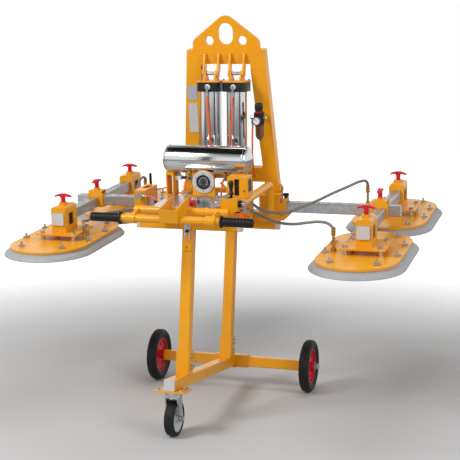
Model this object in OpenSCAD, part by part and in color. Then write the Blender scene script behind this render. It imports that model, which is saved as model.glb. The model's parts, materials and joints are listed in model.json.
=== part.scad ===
// Stone vacuum lifter standing on its three-wheeled trolley.
// Millimetres. X is to the right, Y to the rear, Z up. The origin is on the floor,
// under the middle of the whole machine.
// Three working frames are used: the trolley's (on_trolley), the suction lifter's (on_lifter),
// whose origin is the centre line of the two telescopic arms, and the tilting mast's (on_mast).

/* [Trolley] */
// Diameter of a rear wheel
wheel_d = 260; // [220:5:300]
// Width of a rear tyre
tyre_w = 50; // [40:1:60]
// Distance between the rear wheel centres
wheel_track = 798; // [700:2:900]
// Side of the square trolley tube
tube = 50; // [40:1:60]
// Wall of the trolley tube
tube_wall = 4; // [3:0.5:6]
// Slope of the long beam, rising to the front, in degrees
trolley_pitch = 6.95; // [5:0.05:9]
// Long beam, from the axle to its front end
beam_len = 923; // [910:1:1000]
// Front post, ahead of the axle
front_post_u = 735; // [700:1:760]
// Rear post, ahead of the axle
rear_post_u = 98; // [95:1:130]
// Underside of the crossbars, above the axle
crossbar_v = 675; // [600:1:750]
// Length of a crossbar between its caps
crossbar_len = 462; // [400:2:520]
// Height of the post sockets
socket_h = 110; // [80:1:150]
// Front caster's swivel axis, ahead of the axle
caster_u = 869; // [840:1:890]
// Diameter of the caster wheel
caster_d = 160; // [140:2:170]
// Width of the caster wheel
caster_w = 45; // [35:1:55]
// Trail of the caster, from the swivel axis back to the wheel's axle
caster_trail = 21; // [15:1:35]
// Side of the caster's top plate
caster_plate_w = 140; // [120:2:160]

/* [Lifter frame] */
// Tilt of the parked lifter, front end down, in degrees
lift_tilt = 4.93; // [3:0.01:6]
// Side of the square arms and cross tubes
arm_w = 50; // [45:1:55]
// Wall of the arms and cross tubes
arm_wall = 4; // [3:0.5:6]
// Underside of the base rail, below the arms' centre line
rail_drop = 66; // [62:1:72]
// Height of the base rail
rail_h = 37; // [32:1:38]
// Right end of the base rail
rail_right_x = 300; // [290:1:330]
// Left end of the base rail
rail_left_x = -490; // [-520:1:-480]
// Height of the deck rails
deck_rail_h = 60; // [50:1:65]
// Half the distance between the deck rails
deck_rail_x = 110; // [108:1:116]
// Width of a deck rail
deck_rail_w = 36; // [30:1:40]
// Middle of the handle bar, ahead of the arms
handle_y = 851; // [830:1:880]
// Height of the handle bar above the arms
handle_z = 107; // [100:1:112]
// Length of the handle bar over its grips
handle_len = 740; // [680:2:800]
// Diameter of the handle bar
handle_d = 34; // [28:1:36]
// Length of a rubber grip
grip_len = 143; // [120:1:160]
// Width of the steel deck plate
deck_plate_w = 300; // [280:2:320]

/* [Arms and pads] */
// Outer end of the right arm
right_arm_end = 844; // [830:1:880]
// Middle of the right cross tube
right_tube_x = 757; // [740:1:770]
// Outer end of the left arm
left_arm_end = -815; // [-840:1:-800]
// Middle of the left cross tube
left_tube_x = -727; // [-740:1:-715]
// Width of a suction pad's plate
pad_w = 375; // [340:1:380]
// Length of a suction pad's plate
pad_len = 730; // [680:1:734]
// Thickness of a pad plate
pad_t = 10; // [8:1:14]
// Flare of the rubber skirt beyond the plate
skirt_flare = 30; // [20:1:32]
// Depth of the rubber skirt below the plate
skirt_h = 32; // [24:1:40]
// Side of a bracket's base plate
base_plate_w = 206; // [190:1:216]
// Depth of a bracket along its cross tube
bracket_d = 132; // [120:1:140]
// Width of a bracket's folded housing
bracket_w = 73; // [70:1:80]
// Height of a bracket's top above the arms' centre line
bracket_top = 50; // [46:1:60]
// Width of a red pull handle
pull_w = 88; // [70:1:100]

/* [Mast and cylinders] */
// Tilt of the mast, top end forward, in degrees
mast_lean = 8.5; // [7:0.1:9]
// Depth of the mast's legs
leg_d = 54; // [48:1:60]
// Height of the mast frame above the arms
mast_top_z = 764; // [740:1:800]
// Height of the lifting plate's tip above the arms
plate_top_z = 924; // [900:1:960]
// Thickness of the lifting plate
lift_plate_t = 20; // [15:1:25]
// Width of the oblong lifting eye
eye_w = 75; // [60:1:80]
// Diameter of the two round lifting holes
side_hole_d = 44; // [30:1:48]
// Bore of the mast's hinge pins
hinge_d = 20; // [16:1:24]
// Outer diameter of a cylinder tube
barrel_d = 100; // [90:1:102]
// Half the distance between the two cylinders
cyl_x = 64; // [62:1:66]
// Width of a cylinder head
head_w = 114; // [110:1:118]
// Diameter of a piston rod
rod_d = 25; // [20:1:28]

/* [Air system] */
// Diameter of the air tank
tank_d = 130; // [120:1:140]
// Length of the air tank over its dished ends
tank_len = 428; // [400:2:460]
// Height of the tank's axis above the arms
tank_z = 285; // [280:1:300]
// Diameter of the vacuum gauge's outer ring
gauge_d = 104; // [90:1:108]
// Diameter of a braided vacuum hose
vac_hose_d = 14; // [12:1:16]
// Diameter of an orange air hose
air_hose_d = 8; // [6:1:9]

/* [Hidden] */
$fn = 64;

paint = "#E29A1D";
zinc = "#BFC3C6";
steel = "#A8ACB0";
black = "#17181A";
red = "#D0121B";
grey_rubber = "#A6A8AB";
hose_orange = "#F2591F";
braid = "#8A8378";
white_plastic = "#F2F2F2";

// Clearances
fit = 0.3;          // between parts that are assembled or that slide
run = 0.05;         // radial running fit of a pin in its bore
eps = 0.01;

// Trolley
beam_half = tube / 2;
axle_d = 25;
hub_half = 31;
collar_t = 4;
axle_beam_end = wheel_track / 2 - hub_half - fit - collar_t;
sleeve_wall = 6;
socket_w = tube + 2 * (sleeve_wall + fit);
crossbar_top_v = crossbar_v + tube;
cap_t = 15;
bolt_d = 10;
hex_af = 17;
rim_d = wheel_d * 0.66;
caster_plate_t = 6;
swivel_h = 22;
swivel_d = 76;
kingpin_d = 16;
caster_axle_d = 14;
fork_t = 6;
fork_gap = 3;

// World place (Y, Z) of a point u ahead of the axle and v above it, in the trolley's frame
function trolley_pt(u, v) = [
    -u * cos(trolley_pitch) + v * sin(trolley_pitch),
    wheel_d / 2 + u * sin(trolley_pitch) + v * cos(trolley_pitch)
];
function turned(p, a) = [p[0] * cos(a) - p[1] * sin(a), p[0] * sin(a) + p[1] * cos(a)];
caster_axle_u = caster_u - caster_trail;
caster_axle_v = (caster_d / 2 - wheel_d / 2 - caster_axle_u * sin(trolley_pitch)) / cos(trolley_pitch);

// The lifter rests on the front top edges of the two crossbars
rail_rest_y = -8;
rail_under = -rail_drop;
rail_top = rail_under + rail_h;
rest_edge = trolley_pt(rear_post_u + beam_half, crossbar_top_v);
rest_turned = turned([rail_rest_y, rail_under - fit], lift_tilt);
lift_org = [rest_edge[0] - rest_turned[0], rest_edge[1] - rest_turned[1]];
post_pitch = front_post_u - rear_post_u;
deck_under = rail_under + post_pitch * sin(lift_tilt + trolley_pitch);
deck_top = deck_under + deck_rail_h;

// Base rail, sockets and hinge of the mast
rail_front_y = -30;
rail_back_y = 50;
socket_front_y = -60;
socket_back_y = 29;
socket_top = 65;
right_socket = [165, 265];
left_socket = [rail_left_x, rail_left_x + 58];
right_socket_back = 14;     // clear of the mast's foot
left_socket_back = 115;
heel_z = -20;
slot_w = 30;
slot_y = [22, 76];
rail_wall = 5;
front_web_top = 38;
pin_head_t = 5;
foot_head_t = 3;
arm_half = arm_w / 2;
arm_hole = arm_w + 2 * fit;
plate_t = 8;
lug_t = 8;
lug_r = 24;
foot_lug_r = 21;
eye_gap = 1;           // between a rod eye and each of its lugs
upright_d = 20;
upright_front_y = rail_front_y - upright_d;
collar_w = 16;
collar_x = right_socket[1] + 20;
collar_front_y = socket_front_y + 14;
collar_top = 44;
hose_stub_d = 12;
left_valve = [-453, -64, 42];
left_stub = [-430, left_valve[1] - 18, left_valve[2]];
rear_stub = [left_socket[1] + 12, 98, 46];
left_lock_x = -476;
left_lock_z = 18;
left_lock_y = 137;

// Mast: points are given in the mast's own frame
mast_front_y = 19;
hinge_y = mast_front_y + leg_d / 2;
foot_z = 48;
hinge_z = foot_z + leg_d / 2;
foot_half = 246;
head_half = 194;
mast_wall = 6;
window_top_z = 695;
window_bottom_z = 185;
cross_bottom_z = 115;
leg_slope_in = 0.0855;
window_top_half = 124;
leg_slope_out = (foot_half - head_half) / (mast_top_z - foot_z);
function outer_half(z) = head_half + (mast_top_z - z) * leg_slope_out;
function inner_half(z) = window_top_half + (window_top_z - z) * leg_slope_in;
foot_in = inner_half(hinge_z + lug_r);
foot_out = outer_half(hinge_z);
inner_lug_x = foot_in - 1 - lug_t;
outer_lug_x = foot_out + 1;
rod_slot = 2 * cyl_x + rod_d + 2 * 14;

// Cylinder: from the upper pin down, in the mast's frame
cyl_pin_y = -14;
cyl_pin_z = 655;
cyl_pin_d = 16;
low_pin_y = -90;       // in the lifter's frame
low_pin_z = 62;
head_port_y = -66;     // hose elbow on the front of each upper head
head_port_z = -63;
head_port_low = -97;
ear_half = 31;
cap_plate_t = 8;
head_h = 44;
cap_top = 33;          // below the upper pin
barrel_end = 448;
low_head_h = 40;
barrel_wall = 4;
eye_r = 20;
eye_half = 15;
pin_back = turned([low_pin_y, low_pin_z], lift_tilt - mast_lean);
cyl_dy = cyl_pin_y - pin_back[0];
cyl_dz = cyl_pin_z - pin_back[1];
cyl_len = sqrt(cyl_dy * cyl_dy + cyl_dz * cyl_dz);
cyl_swing = atan(cyl_dy / cyl_dz);

// Carriages, brackets and pads
tube_z = -8;
carriage_w = 86;
sleeve_out = arm_hole / 2 + sleeve_wall;
guide_len = 82;
front_bracket_y = -384;
rear_bracket_y = 466;
end_cap_w = 60;
end_cap_t = 12;
cap_window = end_cap_w + 2;
sheet_t = 5;
pad_top = -109;
pad_dx = -13;
front_pad_dy = 35;
rear_pad_dy = -8;
base_top = -75;
base_t = 8;
spacer_d = 22;
boss_d = 42;
boss_h = 12;
pull_d = 22;
pull_z = bracket_top + boss_h + fit;
pull_h = 42;
pin_d = 12;
knob_boss_d = 30;

// Air system
tank_x = 6;
tank_y = -352;
port_d = 10;
elbow_x = [-138, 138];
elbow_w = 28;
check_x = [-84, 93];
check_y = tank_y - 26;
check_z = tank_z - tank_d / 2 - 25;
gauge_x = 3;
gauge_z = 190;
gauge_y = -410;
gauge_plate_t = 6;
deck_plate_t = 3;
knob_at = [43, -688, 150];
knob_shaft_d = 10;
button_at = [22, -570];
button_d = 20;
rear_bar_y = -745;
rear_bar_z = 122;
rear_bar_d = 36;
brace_x = 228;
brace_z = 124;
brace_d = 38;
brace_front_y = -640;
brace_bend = 38;
brace_back_y = -80;

// The origin sits under the middle of the whole machine
cradle_tip = turned([-(handle_y + 35), 157], lift_tilt);
rear_skirt = turned([rear_bracket_y + rear_pad_dy + pad_len / 2 + skirt_flare,
    pad_top - pad_t - skirt_h], lift_tilt);
caster_y = trolley_pt(caster_axle_u, caster_axle_v)[0];
front_reach = min(lift_org[0] + cradle_tip[0], caster_y - caster_d / 2);
frame_y = -(front_reach + lift_org[0] + rear_skirt[0]) / 2;
frame_x = -(right_tube_x + left_tube_x) / 2 - pad_dx;

module on_trolley() translate([frame_x, frame_y, wheel_d / 2]) rotate([-trolley_pitch, 0, 0]) children();
module on_lifter() translate([frame_x, frame_y + lift_org[0], lift_org[1]]) rotate([lift_tilt, 0, 0])
    children();
module on_mast() translate([frame_x, frame_y + lift_org[0], lift_org[1]]) rotate([mast_lean, 0, 0])
    children();

// Block between two corners
module block(x0, x1, y0, y1, z0, z1) translate([x0, y0, z0]) cube([x1 - x0, y1 - y0, z1 - z0]);
module rod_x(x0, x1, y, z, d) translate([x0, y, z]) rotate([0, 90, 0]) cylinder(h = x1 - x0, d = d);
module rod_y(x, y0, y1, z, d) translate([x, y1, z]) rotate([90, 0, 0]) cylinder(h = y1 - y0, d = d);
module rod_z(x, y, z0, z1, d) translate([x, y, z0]) cylinder(h = z1 - z0, d = d);

// Square with cut corners, centred
module cut_square(w, c) {
    h = w / 2;
    polygon([[-h + c, -h], [h - c, -h], [h, -h + c], [h, h - c], [h - c, h], [-h + c, h], [-h, h - c], [-h,
        -h + c]]);
}
module tube_2d(w, wall) difference() {
    cut_square(w, wall * 0.8);
    cut_square(w - 2 * wall, wall * 0.4);
}
module tube_x(x0, x1, y, z, w, wall) translate([x0, y, z]) rotate([90, 0, 90]) linear_extrude(x1 - x0)
    tube_2d(w, wall);
module tube_y(x, y0, y1, z, w, wall) translate([x, y1, z]) rotate([90, 0, 0]) linear_extrude(y1 - y0)
    tube_2d(w, wall);
module tube_z(x, y, z0, z1, w, wall) translate([x, y, z0]) linear_extrude(z1 - z0) tube_2d(w, wall);

// Hexagon bolt head standing on a face, with its washer
module hex_head(af) {
    cylinder(h = 2, d = af * 1.35);
    translate([0, 0, 2]) cylinder(h = af * 0.55, d = af / cos(30), $fn = 6);
}

// Trolley

module trolley_base() {
    color(paint) on_trolley() {
        difference() {
            union() {
                tube_x(-axle_beam_end, axle_beam_end, 0, 0, tube, tube_wall);
                tube_x(-85, 85, 0, 0, tube + 2 * sleeve_wall, sleeve_wall);
                for (s = [-1, 1]) {
                    block(s > 0 ? axle_beam_end - 6 : -axle_beam_end,
                        s > 0 ? axle_beam_end : -axle_beam_end + 6,
                        -beam_half + 2, beam_half - 2, -beam_half + 2, beam_half - 2);
                    rod_x(s > 0 ? axle_beam_end : -axle_beam_end - collar_t,
                        s > 0 ? axle_beam_end + collar_t : -axle_beam_end, 0, 0, 44);
                    rod_x(s > 0 ? axle_beam_end - 40 : -wheel_track / 2 - hub_half - 14,
                        s > 0 ? wheel_track / 2 + hub_half + 14 : -axle_beam_end + 40, 0, 0, axle_d);
                    translate([s * (wheel_track / 2 + hub_half + fit), 0, 0]) rotate([0, s * 90, 0])
                        hex_head(30);
                }
                tube_y(0, -beam_len, -beam_half - sleeve_wall + eps, 0, tube, tube_wall);
                for (u = [front_post_u, rear_post_u])
                    tube_z(0, -u, beam_half - eps, beam_half + socket_h, socket_w, sleeve_wall);
                block(-35, 35, -beam_half - sleeve_wall - 26, -beam_half - sleeve_wall + eps,
                    -beam_half - 5, -beam_half);
            }
            for (u = [front_post_u, rear_post_u], v = [0.3, 0.75])
                rod_x(0, socket_w, -u, beam_half + socket_h * v, bolt_d + 2 * fit);
        }
    }
}

// Post with its crossbar on top
module stand(u) {
    on_trolley() {
        tube_z(0, -u, beam_half, crossbar_v + eps, tube, tube_wall);
        tube_x(-crossbar_len / 2, crossbar_len / 2, -u, crossbar_v + beam_half, tube, tube_wall);
    }
}
module trolley_front_stand() { color(paint) stand(front_post_u); }
module trolley_rear_stand() { color(paint) stand(rear_post_u); }

// Plug that closes the end of a square tube, standing along +Z
module end_plug(w, wall, t) {
    linear_extrude(t) cut_square(w, wall * 0.8);
    translate([0, 0, -18]) linear_extrude(18 + eps) cut_square(w - 2 * wall - 2 * fit, wall * 0.4);
}
module trolley_caps() {
    color(paint) on_trolley() {
        for (u = [front_post_u, rear_post_u], s = [-1, 1])
            translate([s * crossbar_len / 2, -u, crossbar_v + beam_half]) rotate([0, s * 90, 0])
                end_plug(tube, tube_wall, cap_t);
        translate([0, -beam_len, 0]) rotate([90, 0, 0]) end_plug(tube, tube_wall, 6);
    }
}
module socket_bolts() {
    color(steel) on_trolley() {
        for (u = [front_post_u, rear_post_u], v = [0.3, 0.75])
            translate([socket_w / 2, -u, beam_half + socket_h * v]) rotate([0, 90, 0]) {
                hex_head(hex_af);
                translate([0, 0, -(sleeve_wall + fit)]) cylinder(h = sleeve_wall + fit + eps, d = bolt_d);
            }
    }
}
// Transport latch that hangs on the front crossbar beside the post
module latch_plate() {
    color(zinc) on_trolley() translate([0, -front_post_u - beam_half, crossbar_v])
        difference() {
            union() {
                block(-15, 15, -4, 0, -70, 30);
                block(-22, 22, -5, 0, -96, -58);
                translate([0, -4, 12]) rotate([90, 0, 0]) hex_head(13);
            }
            rod_y(0, -20, 10, -78, 11);
        }
}

// Caster, with its swivel axis leaning like the beam
module caster_plate() {
    color(zinc) on_trolley() translate([0, -caster_u, -beam_half]) {
        block(-caster_plate_w / 2, caster_plate_w / 2, -caster_plate_w / 2, caster_plate_w / 2 - 20,
            -caster_plate_t, 0);
        rod_z(0, 0, -caster_plate_t - swivel_h * 0.45, -caster_plate_t, swivel_d);
        rod_z(0, 0, -caster_plate_t - swivel_h - 8, 0, kingpin_d);
        for (x = [-1, 1], y = [-1, 0.7]) translate([x * 52, y * 52, 0]) hex_head(13);
    }
}
module caster_fork() {
    top_v = -beam_half - caster_plate_t - swivel_h * 0.45 - fit;
    leg_x = caster_w / 2 + fork_gap;
    color(zinc) on_trolley() {
        difference() {
            union() {
                rod_z(0, -caster_u, top_v - swivel_h * 0.55, top_v, swivel_d);
                block(-leg_x - fork_t, leg_x + fork_t, -caster_u - 32, -caster_u + 32,
                    top_v - swivel_h * 0.55 - fork_t, top_v - swivel_h * 0.5);
                for (s = [-1, 1]) fork_leg(s, leg_x, top_v - swivel_h * 0.55);
            }
            rod_z(0, -caster_u, top_v - swivel_h - 8, top_v + 1, kingpin_d + 2 * run);
        }
        rod_x(-leg_x - fork_t, leg_x + fork_t, -caster_axle_u, caster_axle_v, caster_axle_d);
        for (s = [-1, 1]) translate([s * (leg_x + fork_t), -caster_axle_u, caster_axle_v]) rotate([0,
            s * 90, 0])
            hex_head(19);
    }
}
module fork_leg(s, leg_x, leg_top) {
    a = [-caster_axle_u, caster_axle_v];
    translate([s > 0 ? leg_x : -leg_x - fork_t, 0, 0]) rotate([90, 0, 90]) linear_extrude(fork_t) {
        polygon([[-caster_u - 30, leg_top], [-caster_u + 30, leg_top], [a[0] + 17, a[1] + 6],
            [a[0] + 17, a[1]], [a[0] - 17, a[1]], [a[0] - 17, a[1] + 6]]);
        translate(a) circle(r = 17);
    }
}
module caster_wheel() {
    color(black) on_trolley() translate([0, -caster_axle_u, caster_axle_v]) rotate([0, 90, 0])
        rotate_extrude($fn = 96) polygon(wheel_profile(caster_d, caster_w, caster_axle_d + 2 * run, 14));
}
// Half section of a solid wheel with a round-shouldered tread and a recessed web
function wheel_profile(d, w, bore, web) = [
    [bore / 2, -w / 2 - 2], [bore / 2 + 9, -w / 2 - 2], [bore / 2 + 9, -web / 2], [d * 0.36, -web / 2],
    [d * 0.38, -w / 2 + 3], [d * 0.4, -w / 2],
    for (a = [0:15:90]) [d / 2 - w * 0.22 * (1 - sin(a)), -w / 2 + w * 0.22 * (1 - cos(a))],
    for (a = [90:-15:0]) [d / 2 - w * 0.22 * (1 - sin(a)), w / 2 - w * 0.22 * (1 - cos(a))],
    [d * 0.4, w / 2], [d * 0.38, w / 2 - 3],
    [d * 0.36, web / 2], [bore / 2 + 9, web / 2], [bore / 2 + 9, w / 2 + 2], [bore / 2, w / 2 + 2]
];

// Rear wheels
module at_wheel(s) on_trolley() translate([s * wheel_track / 2, 0, 0]) rotate([0, s * 90, 0]) children();
module tyre() {
    r = wheel_d / 2;
    h = tyre_w / 2;
    ri = rim_d / 2;
    rotate_extrude($fn = 96) polygon([
        [ri, -h * 0.6], [ri + 5, -h * 0.72], [ri + (r - ri) * 0.45, -h],
        for (a = [0:15:90]) [r - h * 0.7 * (1 - sin(a)), -h + h * 0.7 * (1 - cos(a))],
        for (a = [90:-15:0]) [r - h * 0.7 * (1 - sin(a)), h - h * 0.7 * (1 - cos(a))],
        [ri + (r - ri) * 0.45, h], [ri + 5, h * 0.72], [ri, h * 0.6]
    ]);
}
module rim() {
    ri = rim_d / 2;
    h = tyre_w / 2;
    difference() {
        rotate_extrude($fn = 96) polygon([
            [axle_d / 2 + run, -hub_half], [axle_d / 2 + 9, -hub_half], [axle_d / 2 + 11, -9], [ri * 0.62,
                -4],
            [ri - 9, -5], [ri - 6, -h * 0.6], [ri, -h * 0.6], [ri, h * 0.6], [ri - 6, h * 0.6],
            [ri - 9, 5], [ri * 0.62, 4], [axle_d / 2 + 14, 10], [axle_d / 2 + 11, hub_half],
            [axle_d / 2 + run, hub_half]
        ]);
        for (a = [0:72:359]) rotate(a) translate([ri * 0.62, 0, -20]) cylinder(h = 40, d = 20);
    }
}
module left_tyre() { color(black) at_wheel(-1) tyre(); }
module left_rim() { color(red) at_wheel(-1) rim(); }
module right_tyre() { color(black) at_wheel(1) tyre(); }
module right_rim() { color(red) at_wheel(1) rim(); }

// Base of the lifter: rail, arm sockets, mast hinge lugs and cylinder feet

// Box round an arm. Its top chamber ends at back_y, on a floor that rises from floor_a to floor_b.
module arm_socket(side, back_y, floor_a, floor_b) {
    x0 = side[0];
    x1 = side[1];
    in_y = socket_front_y + sleeve_wall;
    hole = arm_hole / 2;
    difference() {
        translate([x0, 0, 0]) rotate([90, 0, 90]) linear_extrude(x1 - x0)
            polygon([[socket_front_y, rail_under], [socket_back_y, rail_under], [socket_back_y, floor_a],
                [back_y, floor_b], [back_y, socket_top], [socket_front_y, socket_top]]);
        block(x0 - 1, x1 + 1, -hole, hole, -hole, hole);
        block(x0 + sleeve_wall, x1 - sleeve_wall, in_y, -hole - sleeve_wall, rail_top, hole);
        block(x0 + sleeve_wall, x1 - sleeve_wall, in_y, back_y - sleeve_wall, hole + sleeve_wall,
            socket_top - sleeve_wall);
    }
}
// Oblong hand hole in the top of the left socket
module top_slot(side) {
    x = (side[0] + side[1]) / 2;
    block(x - slot_w / 2, x + slot_w / 2, slot_y[0], slot_y[1], socket_top - sleeve_wall - 1, socket_top + 1);
    for (y = slot_y) rod_z(x, y, socket_top - sleeve_wall - 1, socket_top + 1, slot_w);
}
module hinge_lug(x0) {
    p = turned([hinge_y, hinge_z], mast_lean - lift_tilt);
    r = lug_r;
    translate([x0, 0, 0]) rotate([90, 0, 90]) linear_extrude(lug_t) difference() {
        union() {
            polygon([[socket_back_y, rail_under], [p[0] + r, rail_under + r], [p[0] + r, p[1]],
                [p[0] - r, p[1]], [socket_back_y, p[1] - r]]);
            translate(p) circle(r = r);
        }
        translate(p) circle(d = hinge_d + 2 * run);
    }
}
module foot_lug(x0) {
    p = [low_pin_y, low_pin_z];
    r = foot_lug_r;
    y1 = upright_front_y;
    translate([x0, 0, 0]) rotate([90, 0, 90]) linear_extrude(lug_t) {
        polygon([[y1, rail_top], [y1, front_web_top], [p[0] + r, p[1]], [p[0] - r, p[1]], [p[0] - r + 6,
            p[1] - r - 5]]);
        translate(p) circle(r = r);
    }
}
// Collar round the right arm, outside its socket, with the bore of the locking pin
module lock_collar() {
    x0 = collar_x - collar_w / 2;
    x1 = collar_x + collar_w / 2;
    hole = arm_hole / 2 + 1;
    difference() {
        union() {
            block(x0, x1, collar_front_y, socket_back_y - 2, rail_top - eps, collar_top);
            block(right_socket[1] - eps, x0 + eps, collar_front_y, -hole, rail_top - eps, arm_half);
        }
        block(x0 - 1, x1 + 1, -hole, hole, rail_top - 1, hole);
        rod_z(collar_x, 0, arm_half, collar_top + 1, pin_d + 2 * run);
    }
}
// Hollow base rail with a cut lower corner on the right
module base_rail() {
    w = rail_wall;
    cut = 22;
    difference() {
        rotate([90, 0, 0]) translate([0, 0, -rail_back_y]) linear_extrude(rail_back_y - rail_front_y)
            polygon([[rail_left_x, rail_under], [rail_right_x - cut, rail_under], [rail_right_x,
                rail_under + cut],
                [rail_right_x, rail_top], [rail_left_x, rail_top]]);
        rotate([90, 0, 0]) translate([0, 0, -rail_back_y + w])
            linear_extrude(rail_back_y - rail_front_y - 2 * w)
            polygon([[rail_left_x + w, rail_under + w], [rail_right_x - cut - w, rail_under + w],
                [rail_right_x - w, rail_under + cut + w], [rail_right_x - w, rail_top - w],
                [rail_left_x + w, rail_top - w]]);
        for (x = [-320, -200, 0]) rod_z(x, rail_front_y + 12, rail_under - 1, rail_under + w + 1, 12);
    }
}
module pad_frame() {
    pin_reach = eye_half + eye_gap + lug_t;
    color(paint) on_lifter() {
        base_rail();
        difference() {
            arm_socket(right_socket, right_socket_back, arm_hole / 2 + sleeve_wall,
                arm_hole / 2 + sleeve_wall);
            translate([(right_socket[0] + right_socket[1]) / 2, -20, socket_top - sleeve_wall - 1])
                cylinder(h = sleeve_wall + 2, d = slot_w / 2);
        }
        difference() {
            arm_socket(left_socket, left_socket_back, heel_z, heel_z + 28);
            top_slot(left_socket);
            rod_y(left_lock_x, arm_half, left_socket_back + 1, left_lock_z, pin_d + 2 * run);
        }
        lock_collar();
        for (s = [-1, 1]) {
            hinge_lug(s > 0 ? inner_lug_x : -inner_lug_x - lug_t);
            hinge_lug(s > 0 ? outer_lug_x : -outer_lug_x - lug_t);
            block(s * deck_rail_x - deck_rail_w / 2, s * deck_rail_x + deck_rail_w / 2, upright_front_y,
                rail_front_y + eps, rail_under, deck_under);
            for (t = [-1, 1]) {
                foot_lug(s * cyl_x + (t > 0 ? eye_half + eye_gap : -pin_reach));
                rod_x(s * cyl_x + (t > 0 ? pin_reach - eps : -pin_reach - foot_head_t),
                    s * cyl_x + (t > 0 ? pin_reach + foot_head_t : -pin_reach + eps),
                    low_pin_y, low_pin_z, cyl_pin_d + 8);
            }
        }
        block(-deck_rail_x, deck_rail_x, upright_front_y - eps, upright_front_y + plate_t, rail_under,
            front_web_top);
        block(-deck_rail_x, deck_rail_x, upright_front_y, rail_front_y + eps, rail_under,
            rail_under + plate_t);
        left_socket_valve();
    }
}
// Round valve body on the front of the left socket, and the hose stub on its right side
module left_socket_valve() {
    rod_y(left_valve[0], left_valve[1] - 18, socket_front_y + eps, left_valve[2], 24);
    rod_y(left_valve[0], left_valve[1] - 30, left_valve[1] - 8, left_valve[2], 34);
    rod_x(left_valve[0], left_stub[0], left_valve[1] - 18, left_valve[2], hose_stub_d);
    rod_x(left_socket[1] - eps, rear_stub[0], rear_stub[1], rear_stub[2], hose_stub_d);
}

// Deck rails with the tank's saddles
module saddle(x0, x1, s) {
    difference() {
        union() {
            block(x0, x1, tank_y - 34, tank_y + 34, deck_top - 12, tank_z - tank_d / 2 + 14);
            block(min(x0, s * deck_rail_x), max(x1, s * deck_rail_x), tank_y - 34, tank_y + 34,
                deck_top - 12, deck_top - 6);
        }
        block(x0 + 5, x1 - 5, tank_y - 60, tank_y + 60, deck_top - 6 + eps, tank_z);
        rod_x(x0 - 1, x1 + 1, tank_y, tank_z, tank_d, $fn = 96);
    }
    difference() {
        block(x0, x1, tank_y - 34, tank_y + 34, tank_z - tank_d / 2 - 8, tank_z - tank_d / 2 + 14);
        rod_x(x0 - 1, x1 + 1, tank_y, tank_z, tank_d, $fn = 96);
    }
}
module deck_rail(s) {
    x0 = s * deck_rail_x - deck_rail_w / 2;
    x1 = x0 + deck_rail_w;
    front = rear_bar_y + rear_bar_d / 2;
    difference() {
        block(x0, x1, front, rail_front_y, deck_under, deck_top);
        block(x0 + 4, x1 - 4, front + 4, rail_front_y - 4, deck_under + 4, deck_top - 4);
        rod_x(x0 - 1, x1 + 1, rear_bar_y, rear_bar_z, rear_bar_d);
    }
}
module deck_frame() {
    color(paint) on_lifter() {
        for (s = [-1, 1]) deck_rail(s);
        for (y = [-600, -430, -190])
            block(-deck_rail_x + deck_rail_w / 2 - eps, deck_rail_x - deck_rail_w / 2 + eps, y - 15, y + 15,
                deck_top - 26, deck_top - 6);
        saddle(-191, -154, -1);
        saddle(154, 191, 1);
        for (s = [-1, 1])
            translate([s * (deck_rail_x + 20), tank_y - 20, deck_top - 8]) rotate([0, s * -42, 0])
                block(-5, 5, 0, 8, 0, 88);
    }
}

// Handle bars: front bar, rear bar, lever cradle, links and the long brace on the right
module handle_bars() {
    color(paint) on_lifter() {
        rod_x(-handle_len / 2 + 6, handle_len / 2 - 6, -handle_y, handle_z, handle_d);
        rod_x(-205, brace_x, rear_bar_y, rear_bar_z, rear_bar_d);
        for (s = [-1, 1]) {
            rod_x(s > 0 ? 159 : -204, s > 0 ? 204 : -159, -handle_y, handle_z, handle_d + 12);
            translate([s > 0 ? 178 : -186, 0, 0]) rotate([90, 0, 90]) linear_extrude(plate_t)
                polygon([[-handle_y, handle_z - 16], [rear_bar_y, rear_bar_z - 12], [rear_bar_y,
                    rear_bar_z + 12],
                    [-handle_y, handle_z + 16]]);
            translate([s * 39 - 2.5, 0, 0]) rotate([90, 0, 90]) linear_extrude(5)
                polygon([[rear_bar_y + 22, 137], [rear_bar_y + 22, 184], [-handle_y - 35, 157],
                    [-handle_y - 21, 97], [-handle_y - 2, 94]]);
        }
        translate([-39, 0, 0]) rotate([90, 0, 90]) linear_extrude(78)
            polygon([[-handle_y - 21, 97], [-handle_y - 35, 157], [-handle_y - 30, 157], [-handle_y - 16,
                97]]);
        rod_y(brace_x, brace_front_y, brace_back_y - brace_bend, brace_z, brace_d);
        translate([brace_x, brace_back_y - brace_bend, brace_z - brace_bend]) rotate([0, 0, 90])
            rotate([90, 0, 0])
            rotate_extrude(angle = 90) translate([brace_bend, 0]) circle(d = brace_d);
        rod_z(brace_x, brace_back_y, -30, brace_z - brace_bend, brace_d);
        block(brace_x - 16, brace_x + 16, brace_back_y, socket_front_y, -24, 54);
        block(brace_x - 28, brace_x + 14, rear_bar_y, brace_front_y + 60, rear_bar_z - 6, rear_bar_z + 4);
    }
}
module handle_grips() {
    color(black) on_lifter() for (s = [-1, 1])
        translate([s * (handle_len / 2 - grip_len), -handle_y, handle_z]) rotate([0, s * 90, 0])
            difference() {
            rotate_extrude() polygon([[0, 0], [27, 0], [27, 6], [20, 8], [19, 14],
                for (i = [0:7]) each [[20, 16 + i * 14], [20, 26 + i * 14], [18.8, 28 + i * 14]],
                [20, grip_len - 10], [18, grip_len - 2], [14, grip_len], [0, grip_len]]);
            translate([0, 0, -1]) cylinder(h = grip_len - 5, d = handle_d);
        }
}
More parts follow.
